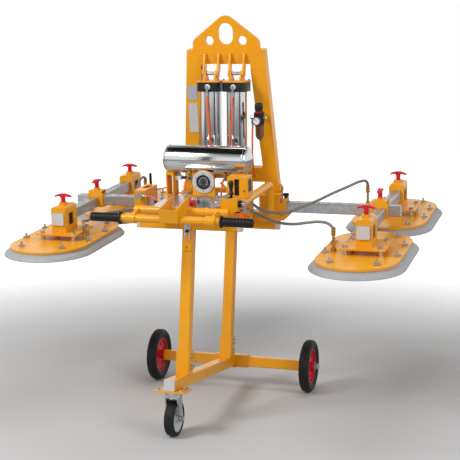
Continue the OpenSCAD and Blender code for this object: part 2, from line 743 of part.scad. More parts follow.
module deck_plate() {
    w = deck_plate_w / 2;
    color(steel) on_lifter() {
        translate([0, 0, deck_top + eps]) linear_extrude(deck_plate_t - eps) difference() {
            polygon([[-w, -640], [-w + 14, -700], [w - 14, -700], [w, -640], [w, gauge_y], [-w, gauge_y]]);
            translate([0, -480]) circle(d = 30);
        }
        for (s = [-1, 1], y = [-690, -560, -430]) translate([s * deck_rail_x, y, deck_top + deck_plate_t])
            cylinder(h = 3, d1 = 11, d2 = 8);
        difference() {
            block(knob_at[0] - 16, knob_at[0] + 16, knob_at[1], knob_at[1] + 24, deck_top + deck_plate_t,
                knob_at[2] + 14);
            rod_y(knob_at[0], knob_at[1] - 1, knob_at[1] + 20, knob_at[2], knob_shaft_d + 2 * run);
        }
        difference() {
            rod_z(button_at[0], button_at[1], deck_top + deck_plate_t, deck_top + deck_plate_t + 8,
                button_d + 8);
            rod_z(button_at[0], button_at[1], deck_top + deck_plate_t + 1, deck_top + 20, button_d + 2 * fit);
        }
    }
}

// Tank with dished ends and bored ports
module air_tank() {
    r = tank_d / 2;
    h = tank_len / 2;
    dish = 30;
    color(steel) on_lifter() difference() {
        translate([tank_x, tank_y, tank_z]) rotate([0, 90, 0]) rotate_extrude($fn = 96) difference() {
            polygon([[0, -h], for (a = [15:15:90]) [r * sin(a), -h + dish * (1 - cos(a))],
                for (a = [90:-15:15]) [r * sin(a), h - dish * (1 - cos(a))], [0, h]]);
            polygon([[0, -h + 4], for (a = [15:15:90]) [(r - 4) * sin(a), -h + 4 + dish * (1 - cos(a))],
                for (a = [90:-15:15]) [(r - 4) * sin(a), h - 4 - dish * (1 - cos(a))], [0, h - 4]]);
        }
        for (x = concat(elbow_x, check_x)) rod_z(x, tank_y, tank_z - r - 5, tank_z - r + 12, port_d);
    }
}
module port_nipple(x, len) {
    r = tank_d / 2;
    rod_z(x, tank_y, tank_z - r - len, tank_z - r + 8, port_d);
    translate([x, tank_y, tank_z - r - 13]) cylinder(h = 9, d = 18 / cos(30), $fn = 6);
}
module tank_fittings() {
    z0 = tank_z - tank_d / 2;
    color(white_plastic) on_lifter() {
        for (s = [0, 1]) {
            x = elbow_x[s];
            port_nipple(x, 14);
            block(x - elbow_w / 2, x + elbow_w / 2, tank_y - 16, tank_y + 14, z0 - 34, z0 - 14);
            rod_x(s > 0 ? x - 38 : x + elbow_w / 2, s > 0 ? x - elbow_w / 2 : x + 38, tank_y, z0 - 24, 14);
        }
        for (x = check_x) {
            port_nipple(x, 16);
            block(x - 9, x + 9, tank_y - 9, tank_y + 9, z0 - 34, z0 - 16);
            rod_y(x, check_y, tank_y - 9, check_z, 14);
        }
    }
}

// Vacuum gauge in its round-topped plate
module gauge_case() {
    color(paint) on_lifter() {
        translate([gauge_x, gauge_y, 0]) {
            difference() {
                translate([0, gauge_plate_t, 0]) rotate([90, 0, 0]) linear_extrude(gauge_plate_t) {
                    translate([-gauge_d / 2 - 2, deck_top]) square([gauge_d + 4, gauge_z - deck_top]);
                    translate([0, gauge_z]) circle(d = gauge_d + 4);
                }
                rod_y(0, -1, 10, gauge_z, 62);
            }
            difference() {
                rod_y(0, -8, 30, gauge_z, 62 - 0.02);
                rod_y(0, -9, -5, gauge_z, 52);
            }
            difference() {
                rod_y(0, -6, 0, gauge_z, gauge_d);
                rod_y(0, -7, 1, gauge_z, 62);
            }
            for (a = [30:60:359]) translate([41 * cos(a), -6, gauge_z + 41 * sin(a)]) rotate([90, 0, 0])
                cylinder(h = 2, d = 6);
        }
    }
}
module gauge_needle() {
    color(black) on_lifter() translate([gauge_x, gauge_y, gauge_z]) {
        rod_y(0, -7.2, -5.2, 0, 5);
        translate([0, -5.6, 0]) rotate([90, 0, 0]) linear_extrude(0.8)
            polygon([[-1.6, 0], [-9, 13], [-11, 16.5], [-6.5, 14.5], [1.6, 0], [3.5, -6], [0, -7]]);
    }
}

// Valve box, instrument box and their fittings
valve_x = [186, 260];
valve_y = [-727, -644];
valve_z = [126, 180];
inst_x = [150, 246];
inst_y = [-520, -440];
inst_z = [brace_z + brace_d / 2, 236];
side_port_x = valve_x[1] + 23;
side_port_y = [valve_y[0] + 22, valve_y[0] + 38];
side_port_z = valve_z[0] + 2;
// Vacuum manifold under the right deck rail, with its two hose ports
manifold_x = [70, deck_rail_x + deck_rail_w / 2];
manifold_y = [-250, -160];
manifold_z = 12;
manifold_ports = [[146, -180, 44], [146, -225, 24]];
module control_boxes() {
    vx = (valve_x[0] + valve_x[1]) / 2;
    color(paint) on_lifter() {
        difference() {
            block(valve_x[0], valve_x[1], valve_y[0], valve_y[1], valve_z[0], valve_z[1]);
            block(vx - 8, vx + 8, valve_y[0] + 14, valve_y[1] - 14, valve_z[1] - 32, valve_z[1] + 1);
        }
        block(valve_x[0] + 3, vx - 9, valve_y[0] + 4, valve_y[1] - 4, valve_z[1], valve_z[1] + 4);
        rod_x(valve_x[1], valve_x[1] + 16, valve_y[0] + 30, valve_z[0] + 28, 32);
        rod_x(valve_x[1] + 16, valve_x[1] + 30, valve_y[0] + 30, valve_z[0] + 28, 22);
        for (y = side_port_y)
            rod_z(side_port_x, y, side_port_z, valve_z[0] + 20, hose_stub_d);
        difference() {
            block(inst_x[0], inst_x[1], inst_y[0], inst_y[1], inst_z[0], inst_z[1]);
            block(inst_x[1] - 3, inst_x[1] + 1, inst_y[0] + 16, inst_y[1] - 16, inst_z[0] + 24,
                inst_z[1] - 14);
            block(inst_x[0] + 36, inst_x[0] + 58, inst_y[0] - 1, inst_y[0] + 8, inst_z[0] + 10,
                inst_z[1] - 8);
        }
        block(inst_x[1] - 3 - eps, inst_x[1] - 1, inst_y[0] + 17, inst_y[1] - 17, inst_z[0] + 25,
            inst_z[1] - 15);
        block(manifold_x[0], manifold_x[1], manifold_y[0], manifold_y[1], manifold_z, deck_under);
        for (p = manifold_ports) rod_x(manifold_x[1] - eps, p[0], p[1], p[2], vac_hose_d + 4);
        for (x = [inst_x[0] + 14, inst_x[1] - 14]) translate([x, inst_y[0], inst_z[0] + 34]) rotate([90, 0,
            0])
            cylinder(h = 3, d = 10);
    }
}
module valve_lever() {
    vx = (valve_x[0] + valve_x[1]) / 2;
    vy = (valve_y[0] + valve_y[1]) / 2;
    color(black) on_lifter() translate([vx, vy, valve_z[1] - 18]) {
        rod_x(-7, 7, 0, 0, 20);
        rotate_extrude($fn = 48) polygon([[0, 4], [6, 4], [6, 29], [14, 31], [14, 34], [9, 40], [7, 50],
            [10, 66],
            [12, 78], [11, 86], [8, 91], [0, 92]]);
    }
}
module release_knob() {
    r = knob_shaft_d / 2;
    color(red) on_lifter() translate([knob_at[0], knob_at[1] - fit, knob_at[2]]) rotate([90, 0, 0])
        rotate_extrude()
        polygon([[0, -9], [r, -9], [r, 0], [9, 0], [9, 6], [15, 8], [17, 12], [17, 20], [14, 25], [9, 27],
            [0, 28]]);
}
module blue_button() {
    r = button_d / 2;
    color("#1E7FC8") on_lifter() translate([button_at[0], button_at[1], deck_top + deck_plate_t + 5.5])
        rotate_extrude()
        polygon([[0, 0], [r, 0], [r, 7], [r - 2, 10], [4, 11.5], [0, 12]]);
}

// Tilting mast

// Closed outline of the mast in X and Z, in its own frame
module mast_outline(grow) {
    z0 = hinge_z - grow;
    difference() {
        polygon([[-outer_half(z0) + grow, z0], [-outer_half(mast_top_z - 26) + grow, mast_top_z - 26],
            [-outer_half(mast_top_z) + 24, mast_top_z - grow], [outer_half(mast_top_z) - 24,
                mast_top_z - grow],
            [outer_half(mast_top_z - 26) - grow, mast_top_z - 26], [outer_half(z0) - grow, z0]]);
        polygon([[-inner_half(cross_bottom_z) - grow, cross_bottom_z + grow],
            [-inner_half(0) - grow, 0], [inner_half(0) + grow, 0],
            [inner_half(cross_bottom_z) + grow, cross_bottom_z + grow]]);
        polygon([[-inner_half(window_bottom_z) - grow, window_bottom_z - grow],
            [-inner_half(window_top_z) - grow, window_top_z - 20], [-inner_half(window_top_z) + 20,
                window_top_z + grow],
            [inner_half(window_top_z) - 20, window_top_z + grow], [inner_half(window_top_z) + grow,
                window_top_z - 20],
            [inner_half(window_bottom_z) + grow, window_bottom_z - grow]]);
    }
}
module mast_ear(x) {
    y = cyl_pin_y;
    translate([x - lug_t / 2, 0, 0]) rotate([90, 0, 90]) linear_extrude(lug_t) difference() {
        union() {
            polygon([[mast_front_y, window_top_z - 10], [mast_front_y, mast_top_z - 17],
                [mast_front_y - 12, mast_top_z - 17],
                [y - 19, cyl_pin_z], [y + 19, cyl_pin_z]]);
            translate([y, cyl_pin_z]) circle(r = 19);
        }
        translate([y, cyl_pin_z]) circle(d = cyl_pin_d);
    }
}
module portal_frame() {
    color(paint) on_mast() {
        difference() {
            union() {
                translate([0, mast_front_y + leg_d, 0]) rotate([90, 0, 0]) linear_extrude(leg_d)
                    mast_outline(0);
                for (s = [-1, 1]) rod_x(s > 0 ? foot_in : -foot_out, s > 0 ? foot_out : -foot_in,
                    hinge_y, hinge_z, leg_d);
            }
            translate([0, mast_front_y + leg_d - mast_wall, 0]) rotate([90, 0, 0])
                linear_extrude(leg_d - 2 * mast_wall) intersection() {
                    mast_outline(mast_wall);
                    translate([-400, hinge_z + leg_d / 2]) square([800, 900]);
                }
            block(-rod_slot / 2, rod_slot / 2, mast_front_y - 1, mast_front_y + leg_d - mast_wall,
                cross_bottom_z - 1, window_bottom_z + 1);
            for (s = [-1, 1]) rod_x(s > 0 ? foot_in - 1 : -foot_out - 1, s > 0 ? foot_out + 1 : -foot_in + 1,
                hinge_y, hinge_z, hinge_d);
        }
        for (s = [-1, 1], t = [-1, 1]) mast_ear(s * cyl_x + t * (ear_half + lug_t / 2));
        for (z = [359, 519])
            block(-200, -153, mast_front_y - 1.5, mast_front_y, z, z + (z > 400 ? 70 : 144));
        block(176, 188, cyl_pin_y - 20, mast_front_y, 436, 466);
    }
}
module lifting_plate() {
    r = 27;
    x_low = 176;
    shoulder_z = 803;
    color(paint) on_mast() translate([0, hinge_y + lift_plate_t / 2, 0]) rotate([90, 0, 0])
        linear_extrude(lift_plate_t) difference() {
            union() {
                polygon([[-x_low + 8, mast_top_z], [x_low - 8, mast_top_z], [x_low - 8, shoulder_z - 20],
                    [x_low - 10, shoulder_z], [x_low - 20, shoulder_z + 12],
                    [r, plate_top_z - 9], [-r, plate_top_z - 9], [-x_low + 20, shoulder_z + 12],
                    [-x_low + 10, shoulder_z], [-x_low + 8, shoulder_z - 20]]);
                intersection() {
                    translate([0, plate_top_z - 42]) circle(r = 42);
                    translate([-60, plate_top_z - 9 - eps]) square([120, 40]);
                }
            }
            translate([0, plate_top_z - 35 - eye_w / 2]) circle(d = eye_w);
            translate([0, mast_top_z + 22 + eye_w / 2]) circle(d = eye_w);
            translate([-eye_w / 2, mast_top_z + 22 + eye_w / 2]) square([eye_w,
                plate_top_z - 35 - mast_top_z - 22 - eye_w]);
            for (s = [-1, 1]) translate([s * 83, 805]) circle(d = side_hole_d);
        }
}
module hinge_pins() {
    inner_end = inner_lug_x - 4;
    outer_end = outer_lug_x + lug_t + fit;
    reach = ear_half + lug_t + 3;
    color(steel) on_mast() for (s = [-1, 1]) {
        rod_x(s > 0 ? inner_end : -outer_end, s > 0 ? outer_end : -inner_end, hinge_y, hinge_z, hinge_d);
        translate([s * outer_end, hinge_y, hinge_z]) rotate([0, s * 90, 0]) cylinder(h = pin_head_t,
            d = hinge_d + 10);
        rod_x(s * cyl_x - reach, s * cyl_x + reach, cyl_pin_y, cyl_pin_z, cyl_pin_d);
    }
}

// Cylinders hang from the upper pins, with their own -Z along the rod
module on_cylinder(s) on_mast() translate([s * cyl_x, cyl_pin_y, cyl_pin_z]) rotate([-cyl_swing, 0, 0])
    children();
module cylinder_tubes() {
    color(steel) for (s = [-1, 1]) on_cylinder(s) difference() {
        rod_z(0, 0, -barrel_end + low_head_h, -cap_top - cap_plate_t - head_h, barrel_d);
        rod_z(0, 0, -barrel_end + low_head_h - 1, -cap_top - cap_plate_t - head_h + 1,
            barrel_d - 2 * barrel_wall);
    }
}
module cylinder_heads() {
    h = head_w / 2;
    color(black) for (s = [-1, 1]) on_cylinder(s) {
        difference() {
            translate([0, 0, -cap_top - cap_plate_t - head_h]) linear_extrude(head_h)
                cut_square(head_w - 2, 9);
            rod_z(0, 0, -cap_top - cap_plate_t - head_h - 1, -cap_top - cap_plate_t - head_h + 14,
                barrel_d - 2 * barrel_wall - 8);
        }
        translate([0, 0, -cap_top - cap_plate_t]) linear_extrude(cap_plate_t) cut_square(head_w, 9);
        difference() {
            translate([0, 0, -barrel_end]) linear_extrude(low_head_h) cut_square(head_w - 8, 9);
            rod_z(0, 0, -barrel_end - 1, -barrel_end + low_head_h + 1, rod_d + 2 * run);
            rod_z(0, 0, -barrel_end + low_head_h - 14, -barrel_end + low_head_h + 1,
                barrel_d - 2 * barrel_wall - 8);
        }
        for (t = [-1, 1]) translate([t > 0 ? ear_half - fit - 8 : -ear_half + fit, 0, 0]) rotate([90, 0, 90])
            linear_extrude(8) difference() {
                union() {
                    polygon([[-40, -cap_top], [40, -cap_top], [14, 0], [-14, 0]]);
                    circle(r = 16);
                }
                circle(d = cyl_pin_d + 2 * run);
            }
        rod_y(0, head_port_y - 8, -h + 1 + eps, head_port_z, 18);
        rod_z(0, head_port_y, head_port_low, head_port_z, hose_stub_d);
    }
}
module cylinder_rods() {
    color(zinc) for (s = [-1, 1]) on_cylinder(s) {
        rod_z(0, 0, -cyl_len + eye_r - 4, -130, rod_d);
        rod_z(0, 0, -150, -128, barrel_d - 2 * barrel_wall - 2 * fit);
        rod_x(-eye_half, eye_half, 0, -cyl_len, 2 * eye_r);
        rod_z(0, 0, -cyl_len + eye_r - 6, -cyl_len + eye_r + 14, 2 * eye_half);
    }
}

// Filter regulator on the right leg
reg_x = 182;
reg_y = -60;
reg_port = [reg_x - 34, reg_y, 430];
module regulator_body() {
    color(black) on_mast() {
        rod_z(reg_x, reg_y, 421, 476, 50);
        translate([reg_x, reg_y, 0]) rotate_extrude() polygon([[0, 338], [4, 338], [4, 344], [14, 350],
            [20, 362], [20, 410],
            [22, 412], [22, 421], [0, 421]]);
        rod_y(reg_x, reg_y - 44, reg_y, 445, 14);
        rod_y(reg_x, reg_y - 52, reg_y - 40, 445, 42);
        block(reg_x - 12, reg_x + 12, reg_y, cyl_pin_y - 20, 440, 462);
        rod_x(reg_port[0] - 8, reg_x, reg_y, 452, 16);
        rod_z(reg_port[0], reg_y, reg_port[2], 452, hose_stub_d);
        rod_x(reg_x, reg_x + 36, reg_y, 452, 16);
        rod_z(reg_x, reg_y, 476, 482, 34);
    }
}
module regulator_knob() {
    color(black) on_mast() translate([reg_x, reg_y, 482 + fit]) rotate_extrude()
        polygon([[0, 0], [19, 0], [19, 8], [18, 9], [20, 11], [20, 30], [18, 36], [12, 39], [0, 40]]);
}

// Arms, carriages and pads

function side_tube_x(s) = s > 0 ? right_tube_x : left_tube_x;
right_arm_in = 180;
left_arm_in = -398;
module arm(x0, x1, s) {
    difference() {
        tube_x(x0, x1, 0, 0, arm_w, arm_wall);
        for (x = [x0 + 70:50:x1 - 60]) rod_z(x, 0, arm_half - arm_wall - 1, arm_half + 1, pin_d + 2);
    }
    translate([s > 0 ? x1 : x0, 0, 0]) rotate([0, s * 90, 0]) end_plug(arm_w, arm_wall, 5);
}
module right_arm() { color(zinc) on_lifter() arm(right_arm_in, right_arm_end, 1); }
module left_arm() { color(zinc) on_lifter() arm(left_arm_end, left_arm_in, -1); }

// Sleeve on the arm with the two cross tubes, their caps and a knob boss
module carriage(s) {
    x = side_tube_x(s);
    x0 = x - carriage_w / 2 - s * 8;
    x1 = x0 + carriage_w;
    t0 = sleeve_out;
    front_end = front_bracket_y - bracket_d / 2 + 4;
    rear_end = rear_bracket_y + bracket_d / 2 - 4;
    difference() {
        union() {
            block(x0, x1, -t0, t0, -t0 - 3, t0);
            block(x0 + 6, x1 - 6, -t0 + 4, t0 - 4, t0 - eps, 50);
            rod_z((x0 + x1) / 2, 0, 50 - eps, 62, knob_boss_d);
        }
        block(x0 - 1, x1 + 1, -arm_hole / 2, arm_hole / 2, -arm_hole / 2, arm_hole / 2);
        block(x0 - 1, x1 + 1, -t0 + 9, t0 - 9, t0 + 2, 45);
        rod_z((x0 + x1) / 2, 0, arm_half, 63, pin_d + 2 * run);
    }
    difference() {
        tube_y(x, front_end, -t0 + eps, tube_z, arm_w, arm_wall);
        for (y = [front_bracket_y:45:-120]) rod_z(x, y, tube_z + 15, tube_z + 30, pin_d + 2);
    }
    difference() {
        tube_y(x, t0 - eps, rear_end, tube_z, arm_w, arm_wall);
        for (y = [rear_bracket_y:-45:150]) rod_z(x, y, tube_z + 15, tube_z + 30, pin_d + 2);
    }
    translate([x, front_end, tube_z]) rotate([90, 0, 0]) linear_extrude(end_cap_t) cut_square(end_cap_w, 4);
    translate([x, rear_end + end_cap_t, tube_z]) rotate([90, 0, 0]) linear_extrude(end_cap_t)
        cut_square(end_cap_w, 4);
}
module right_carriage() { color(zinc) on_lifter() carriage(1); }
module left_carriage() { color(zinc) on_lifter() carriage(-1); }

// Bracket housing of one pad, d is -1 in front and 1 behind
function bracket_y(d) = d < 0 ? front_bracket_y : rear_bracket_y;
function pad_y(d) = d < 0 ? front_bracket_y + front_pad_dy : rear_bracket_y + rear_pad_dy;
module bracket(s, d) {
    x = side_tube_x(s);
    y = bracket_y(d);
    w = bracket_w / 2;
    h = bracket_d / 2;
    c = 14;
    guide = arm_w + 2 * fit;
    color(paint) on_lifter() translate([x, y, 0]) {
        difference() {
            union() {
                translate([0, h, 0]) rotate([90, 0, 0]) linear_extrude(bracket_d) difference() {
                    polygon([[-w, base_top], [w, base_top], [w, bracket_top - c], [w - c * 0.3,
                        bracket_top - c * 0.3],
                        [w - c, bracket_top], [-w + c, bracket_top], [-w + c * 0.3, bracket_top - c * 0.3],
                        [-w, bracket_top - c]]);
                    polygon([[-w + sheet_t, base_top - 1], [w - sheet_t, base_top - 1], [w - sheet_t,
                        bracket_top - c],
                        [w - c, bracket_top - sheet_t], [-w + c, bracket_top - sheet_t],
                        [-w + sheet_t, bracket_top - c]]);
                }
                for (e = [-1, 1]) translate([0, e > 0 ? h : -h + sheet_t, 0]) rotate([90, 0, 0])
                    linear_extrude(sheet_t) polygon([[-w + 1, base_top], [w - 1, base_top], [w - 1,
                        bracket_top - c],
                        [w - c, bracket_top - 1], [-w + c, bracket_top - 1], [-w + 1, bracket_top - c]]);
                block(-w + sheet_t - eps, w - sheet_t + eps, d < 0 ? h - guide_len : -h,
                    d < 0 ? h : -h + guide_len,
                    tube_z - guide / 2 - 5, bracket_top - sheet_t + eps);
                block(-base_plate_w / 2, base_plate_w / 2, -base_plate_w / 2, base_plate_w / 2,
                    base_top - base_t, base_top + eps);
                rod_z(0, 0, bracket_top - eps, bracket_top + boss_h, boss_d);
                for (a = [-1, 1], b = [-1, 1]) {
                    rod_z(a * 80, b * 80, pad_top, base_top - base_t + eps, spacer_d);
                    translate([a * 80, b * 80, base_top]) hex_head(20);
                }
            }
            block(-guide / 2, guide / 2, -h - 1, h + 1, tube_z - guide / 2, tube_z + guide / 2);
            translate([0, d < 0 ? -h + 20 : h + 1, tube_z]) rotate([90, 0, 0]) linear_extrude(21)
                cut_square(cap_window, 3);
            for (e = [-1, 1]) block(e * w - 6, e * w + 6, -24, 26, -45, 13);
            rod_z(0, 0, tube_z + guide / 2 - 1, bracket_top + boss_h + 1, pin_d + 2 * run);
        }
    }
}
module obround(len, w) {
    translate([-w / 2, -(len - w) / 2]) square([w, len - w]);
    for (e = [-1, 1]) translate([0, e * (len - w) / 2]) circle(d = w, $fn = 96);
}
// Three-lobed nut on its stud
module lobed_nut() {
    cylinder(h = 26, d = 10);
    translate([0, 0, 4]) cylinder(h = 8, d = 18);
    for (a = [0:120:359]) rotate(a) translate([12, 0, 4]) cylinder(h = 8, d = 12);
}
nut_spots = [[-163, -100], [163, -100], [-163, 100], [163, 100], [-104, -266], [104, -266], [-104, 266],
    [104, 266]];
// Height of the hose tail above the pad plate at each pad
function tail_h(s, d) = d > 0 ? 127 : (s > 0 ? 87 : 40);
tail_dx = 131;
tail_dy = -65;
tail_bore = 9;
// End of the hose on a pad's tail
function tail_top(s, d) =
    [side_tube_x(s) + pad_dx - s * tail_dx, pad_y(d) + tail_dy, pad_top + tail_h(s, d)];
module pad_plate(s, d) {
    x = side_tube_x(s) + pad_dx;
    px = -s * tail_dx;
    color(paint) on_lifter() translate([x, pad_y(d), pad_top]) {
        difference() {
            translate([0, 0, -pad_t]) linear_extrude(pad_t) obround(pad_len, pad_w);
            rod_z(px, tail_dy, -pad_t - 1, 1, tail_bore);
        }
        for (p = nut_spots) translate(p) lobed_nut();
        translate([px, tail_dy, 0]) {
            difference() {
                union() {
                    cylinder(h = tail_h(s, d), d = 12);
                    cylinder(h = 16, d = 24 / cos(30), $fn = 6);
                    translate([0, 0, tail_h(s, d) - 14]) cylinder(h = 10, d = 18 / cos(30), $fn = 6);
                    if (tail_h(s, d) > 60) rod_y(0, -16, 16, tail_h(s, d) * 0.45, 20);
                    block(-9, 9, -9, 9, tail_h(s, d) * 0.45 - 10, tail_h(s, d) * 0.45 + 10);
                }
                translate([0, 0, -1]) cylinder(h = 12, d = tail_bore);
            }
        }
    }
}
module skirt(s, d) {
    x = side_tube_x(s) + pad_dx;
    n = 40;
    straight = (pad_len - pad_w) / 2;
    color(grey_rubber) on_lifter() translate([x, pad_y(d), pad_top - pad_t]) difference() {
        hull() for (e = [-1, 1]) translate([0, e * straight, 0]) {
            translate([0, 0, -4]) cylinder(h = 4, d = pad_w - 4, $fn = n);
            translate([0, 0, -skirt_h]) cylinder(h = 6, d = pad_w + 2 * skirt_flare, $fn = n);
        }
        hull() for (e = [-1, 1]) translate([0, e * straight, 0]) {
            translate([0, 0, 0.1]) cylinder(h = 0.1, d = pad_w - 70, $fn = n);
            translate([0, 0, -skirt_h - 0.1]) cylinder(h = 0.1, d = pad_w + skirt_flare * 0.6, $fn = n);
        }
    }
}
module pull(s, d) {
    color(red) on_lifter() translate([side_tube_x(s), bracket_y(d), 0]) {
        rod_z(0, 0, tube_z + arm_half + fit, pull_z + 1, pin_d);
        rod_z(0, 0, pull_z, pull_z + pull_h - 8, pull_d);
        translate([0, pull_d / 2 - 1, pull_z + pull_h]) rotate([90, 0, 0]) linear_extrude(pull_d - 2)
            polygon([[-pull_w / 2, -15], [-pull_w / 2 + 8, -7], [-12, 0], [12, 0], [pull_w / 2 - 8, -7],
                [pull_w / 2, -15], [pull_w / 2 - 6, -16], [pull_w / 2 - 20, -13], [14, -12], [10, -18],
                [-10, -18], [-14, -12], [-pull_w / 2 + 20, -13], [-pull_w / 2 + 6, -16]]);
    }
}
module front_right_bracket() { bracket(1, -1); }
module front_right_pad() { pad_plate(1, -1); }
module front_right_skirt() { skirt(1, -1); }
module front_right_pull() { pull(1, -1); }
module rear_right_bracket() { bracket(1, 1); }
module rear_right_pad() { pad_plate(1, 1); }
module rear_right_skirt() { skirt(1, 1); }
module rear_right_pull() { pull(1, 1); }
module front_left_bracket() { bracket(-1, -1); }
module front_left_pad() { pad_plate(-1, -1); }
module front_left_skirt() { skirt(-1, -1); }
module front_left_pull() { pull(-1, -1); }
module rear_left_bracket() { bracket(-1, 1); }
module rear_left_pad() { pad_plate(-1, 1); }
module rear_left_skirt() { skirt(-1, 1); }
module rear_left_pull() { pull(-1, 1); }

// Spring knobs that lock the sleeves and the arms
module spring_knob(x, z, w) {
    color(red) on_lifter() translate([x, 0, 0]) {
        rod_z(0, 0, arm_half + fit, z + 1, pin_d);
        rod_z(0, 0, z, z + 26, 20);
        translate([0, 0, z + 24]) rotate_extrude() polygon([[0, 0], [w / 2 - 4, 0], [w / 2, 4], [w / 2, 12],
            [w / 2 - 5, 18], [0, 20]]);
    }
}
function knob_x(s) = side_tube_x(s) - s * 8;
module right_sleeve_knob() { spring_knob(knob_x(1), 62 + fit, 34); }
module left_sleeve_knob() { spring_knob(knob_x(-1), 62 + fit, 34); }
module lock_knob(x) {
    color(black) on_lifter() translate([x, 0, 0]) {
        rod_z(0, 0, arm_half + fit, collar_top + 1, pin_d);
        translate([0, 0, collar_top + fit]) rotate_extrude() polygon([[0, 0], [9, 0], [9, 6], [15, 9], [15,
            19], [12, 22], [0, 22]]);
    }
}
module right_lock_knob() { lock_knob(collar_x); }
// The left arm's locking pin comes in from the rear and has an upright grip
module left_lock_knob() {
    y = left_lock_y;
    color(black) on_lifter() {
        rod_y(left_lock_x, arm_half + fit, y, left_lock_z, pin_d);
        rod_z(left_lock_x, y, left_lock_z - 8, left_lock_z + 95, 14);
        translate([left_lock_x, y, left_lock_z + 95]) sphere(d = 14);
    }
}

// Hoses: each route is a list of points chosen along the hose, in the lifter's or mast's frame

function unit(v) = v / norm(v);
function ring_points(p, t, r, n, up) =
    let (a = unit(cross(t, up)), b = cross(a, t))
    [for (i = [0:n - 1]) p + r * (a * cos(360 * i / n) + b * sin(360 * i / n))];
module sweep(path, d, n) {
    m = len(path);
    dirs = [for (i = [0:m - 1]) i == 0 ? unit(path[1] - path[0])
        : i == m - 1 ? unit(path[m - 1] - path[m - 2])
        : unit(unit(path[i + 1] - path[i]) + unit(path[i] - path[i - 1]))];
    pts = [for (i = [0:m - 1]) each ring_points(path[i], dirs[i], d / 2, n, [0.31, 0.83, 0.46])];
    polyhedron(pts, concat(
        [for (i = [0:m - 2], j = [0:n - 1]) each [
            [i * n + j, i * n + (j + 1) % n, (i + 1) * n + j],
            [i * n + (j + 1) % n, (i + 1) * n + (j + 1) % n, (i + 1) * n + j]]],
        [for (j = [1:n - 2]) [0, j + 1, j]],
        [for (j = [1:n - 2]) [(m - 1) * n, (m - 1) * n + j, (m - 1) * n + j + 1]]));
}
vac_routes = [
    [manifold_ports[0], [165, -180, 44], [212, -198, 24], [275, -200, 10], [332, -192, 12], [402, -148, 32],
        [457, -60, 48], [506, 60, 62], [557, 180, 74], [590, 280, 80], [608, 352, 72], [613, 385, 54],
        [613, 393, 38], tail_top(1, 1)],
    [manifold_ports[1], [163, -225, 24], [175, -227, 19], [233, -248, 0], [322, -300, -12], [407, -350,
        -6], [493, -400, 16],
        [545, -414, 25], [588, -416, 20], [609, -414, 2], [613, -414, -6], tail_top(1, -1)],
    [[rail_left_x, -15, -47], [-510, -15, -47], [-560, -50, -44], [-625, -120, -46], [-648, -200, -48],
        [-646, -300, -44], [-630, -380, -30], [-615, -410, -36], [-609, -414, -52], tail_top(-1, -1)],
    [[rail_left_x, 35, -47], [-510, 35, -47], [-545, 70, -44], [-580, 150, -30], [-604, 260, 10],
        [-614, 340, 44], [-612, 380, 50], [-609, 393, 38], tail_top(-1, 1)]
];
module vacuum_hoses() { color(braid) on_lifter() for (p = vac_routes) sweep(p, vac_hose_d, 8); }
air_routes = [
    [[check_x[0], check_y, check_z], [-84, -392, 195], [-84, -420, 170], [-84, -430, 145],
        [-84, -430, deck_top + deck_plate_t]],
    [[check_x[1], check_y, check_z], [93, -392, 195], [93, -420, 170], [93, -430, 145],
        [93, -430, deck_top + deck_plate_t]],
    [[side_port_x, side_port_y[0], side_port_z], [283, -705, 108], [282, -696, 84], [276, -650, 66],
        [262, -590, 58], [225, -545, 60], [172, -518, 78], [146, -510, 95],
        [deck_rail_x + deck_rail_w / 2, -510, 95]],
    [[side_port_x, side_port_y[1], side_port_z], [283, -689, 112], [285, -680, 90], [286, -640, 74],
        [272, -575, 66], [225, -500, 64], [172, -462, 78], [146, -455, 95],
        [deck_rail_x + deck_rail_w / 2, -455, 95]],
    [left_stub, [-414, -82, 42], [-382, -108, 46], [-335, -150, 40], [-288, -200, 29], [-230, -235, 26],
        [-170, -254, 62], [-146, -255, 90], [-deck_rail_x - deck_rail_w / 2, -255, 90]],
    [rear_stub, [-404, 98, 46], [-370, 72, 58], [-338, 20, 54], [-312, -40, 34], [-270, -110, 22],
        [-200, -160, 44], [-146, -175, 90], [-deck_rail_x - deck_rail_w / 2, -175, 90]]
];
// Hoses that ride on the cylinders, mirrored with s, in the cylinder's frame
function cylinder_route(s) = [[0, head_port_y, head_port_low], [0, head_port_y, -112], [-s * 5, -70, -200],
    [-s * 14, -74, -320], [-s * 20, -72, -400], [-s * 22, -66, -424], [-s * 22, -4 - head_w / 2, -428],
    [-s * 22, 4 - head_w / 2, -428]];
regulator_route = [reg_port, [148, -60, 414], [143, -56, 360], [137, -44, 290], [132, -24, 220], [130, -6,
    170],
    [130, 4, 150], [130, mast_front_y, 150]];
module air_hoses() {
    color(hose_orange) {
        on_lifter() for (p = air_routes) sweep(p, air_hose_d, 8);
        for (s = [-1, 1]) on_cylinder(s) sweep(cylinder_route(s), air_hose_d, 8);
        on_mast() sweep(regulator_route, air_hose_d, 8);
    }
}

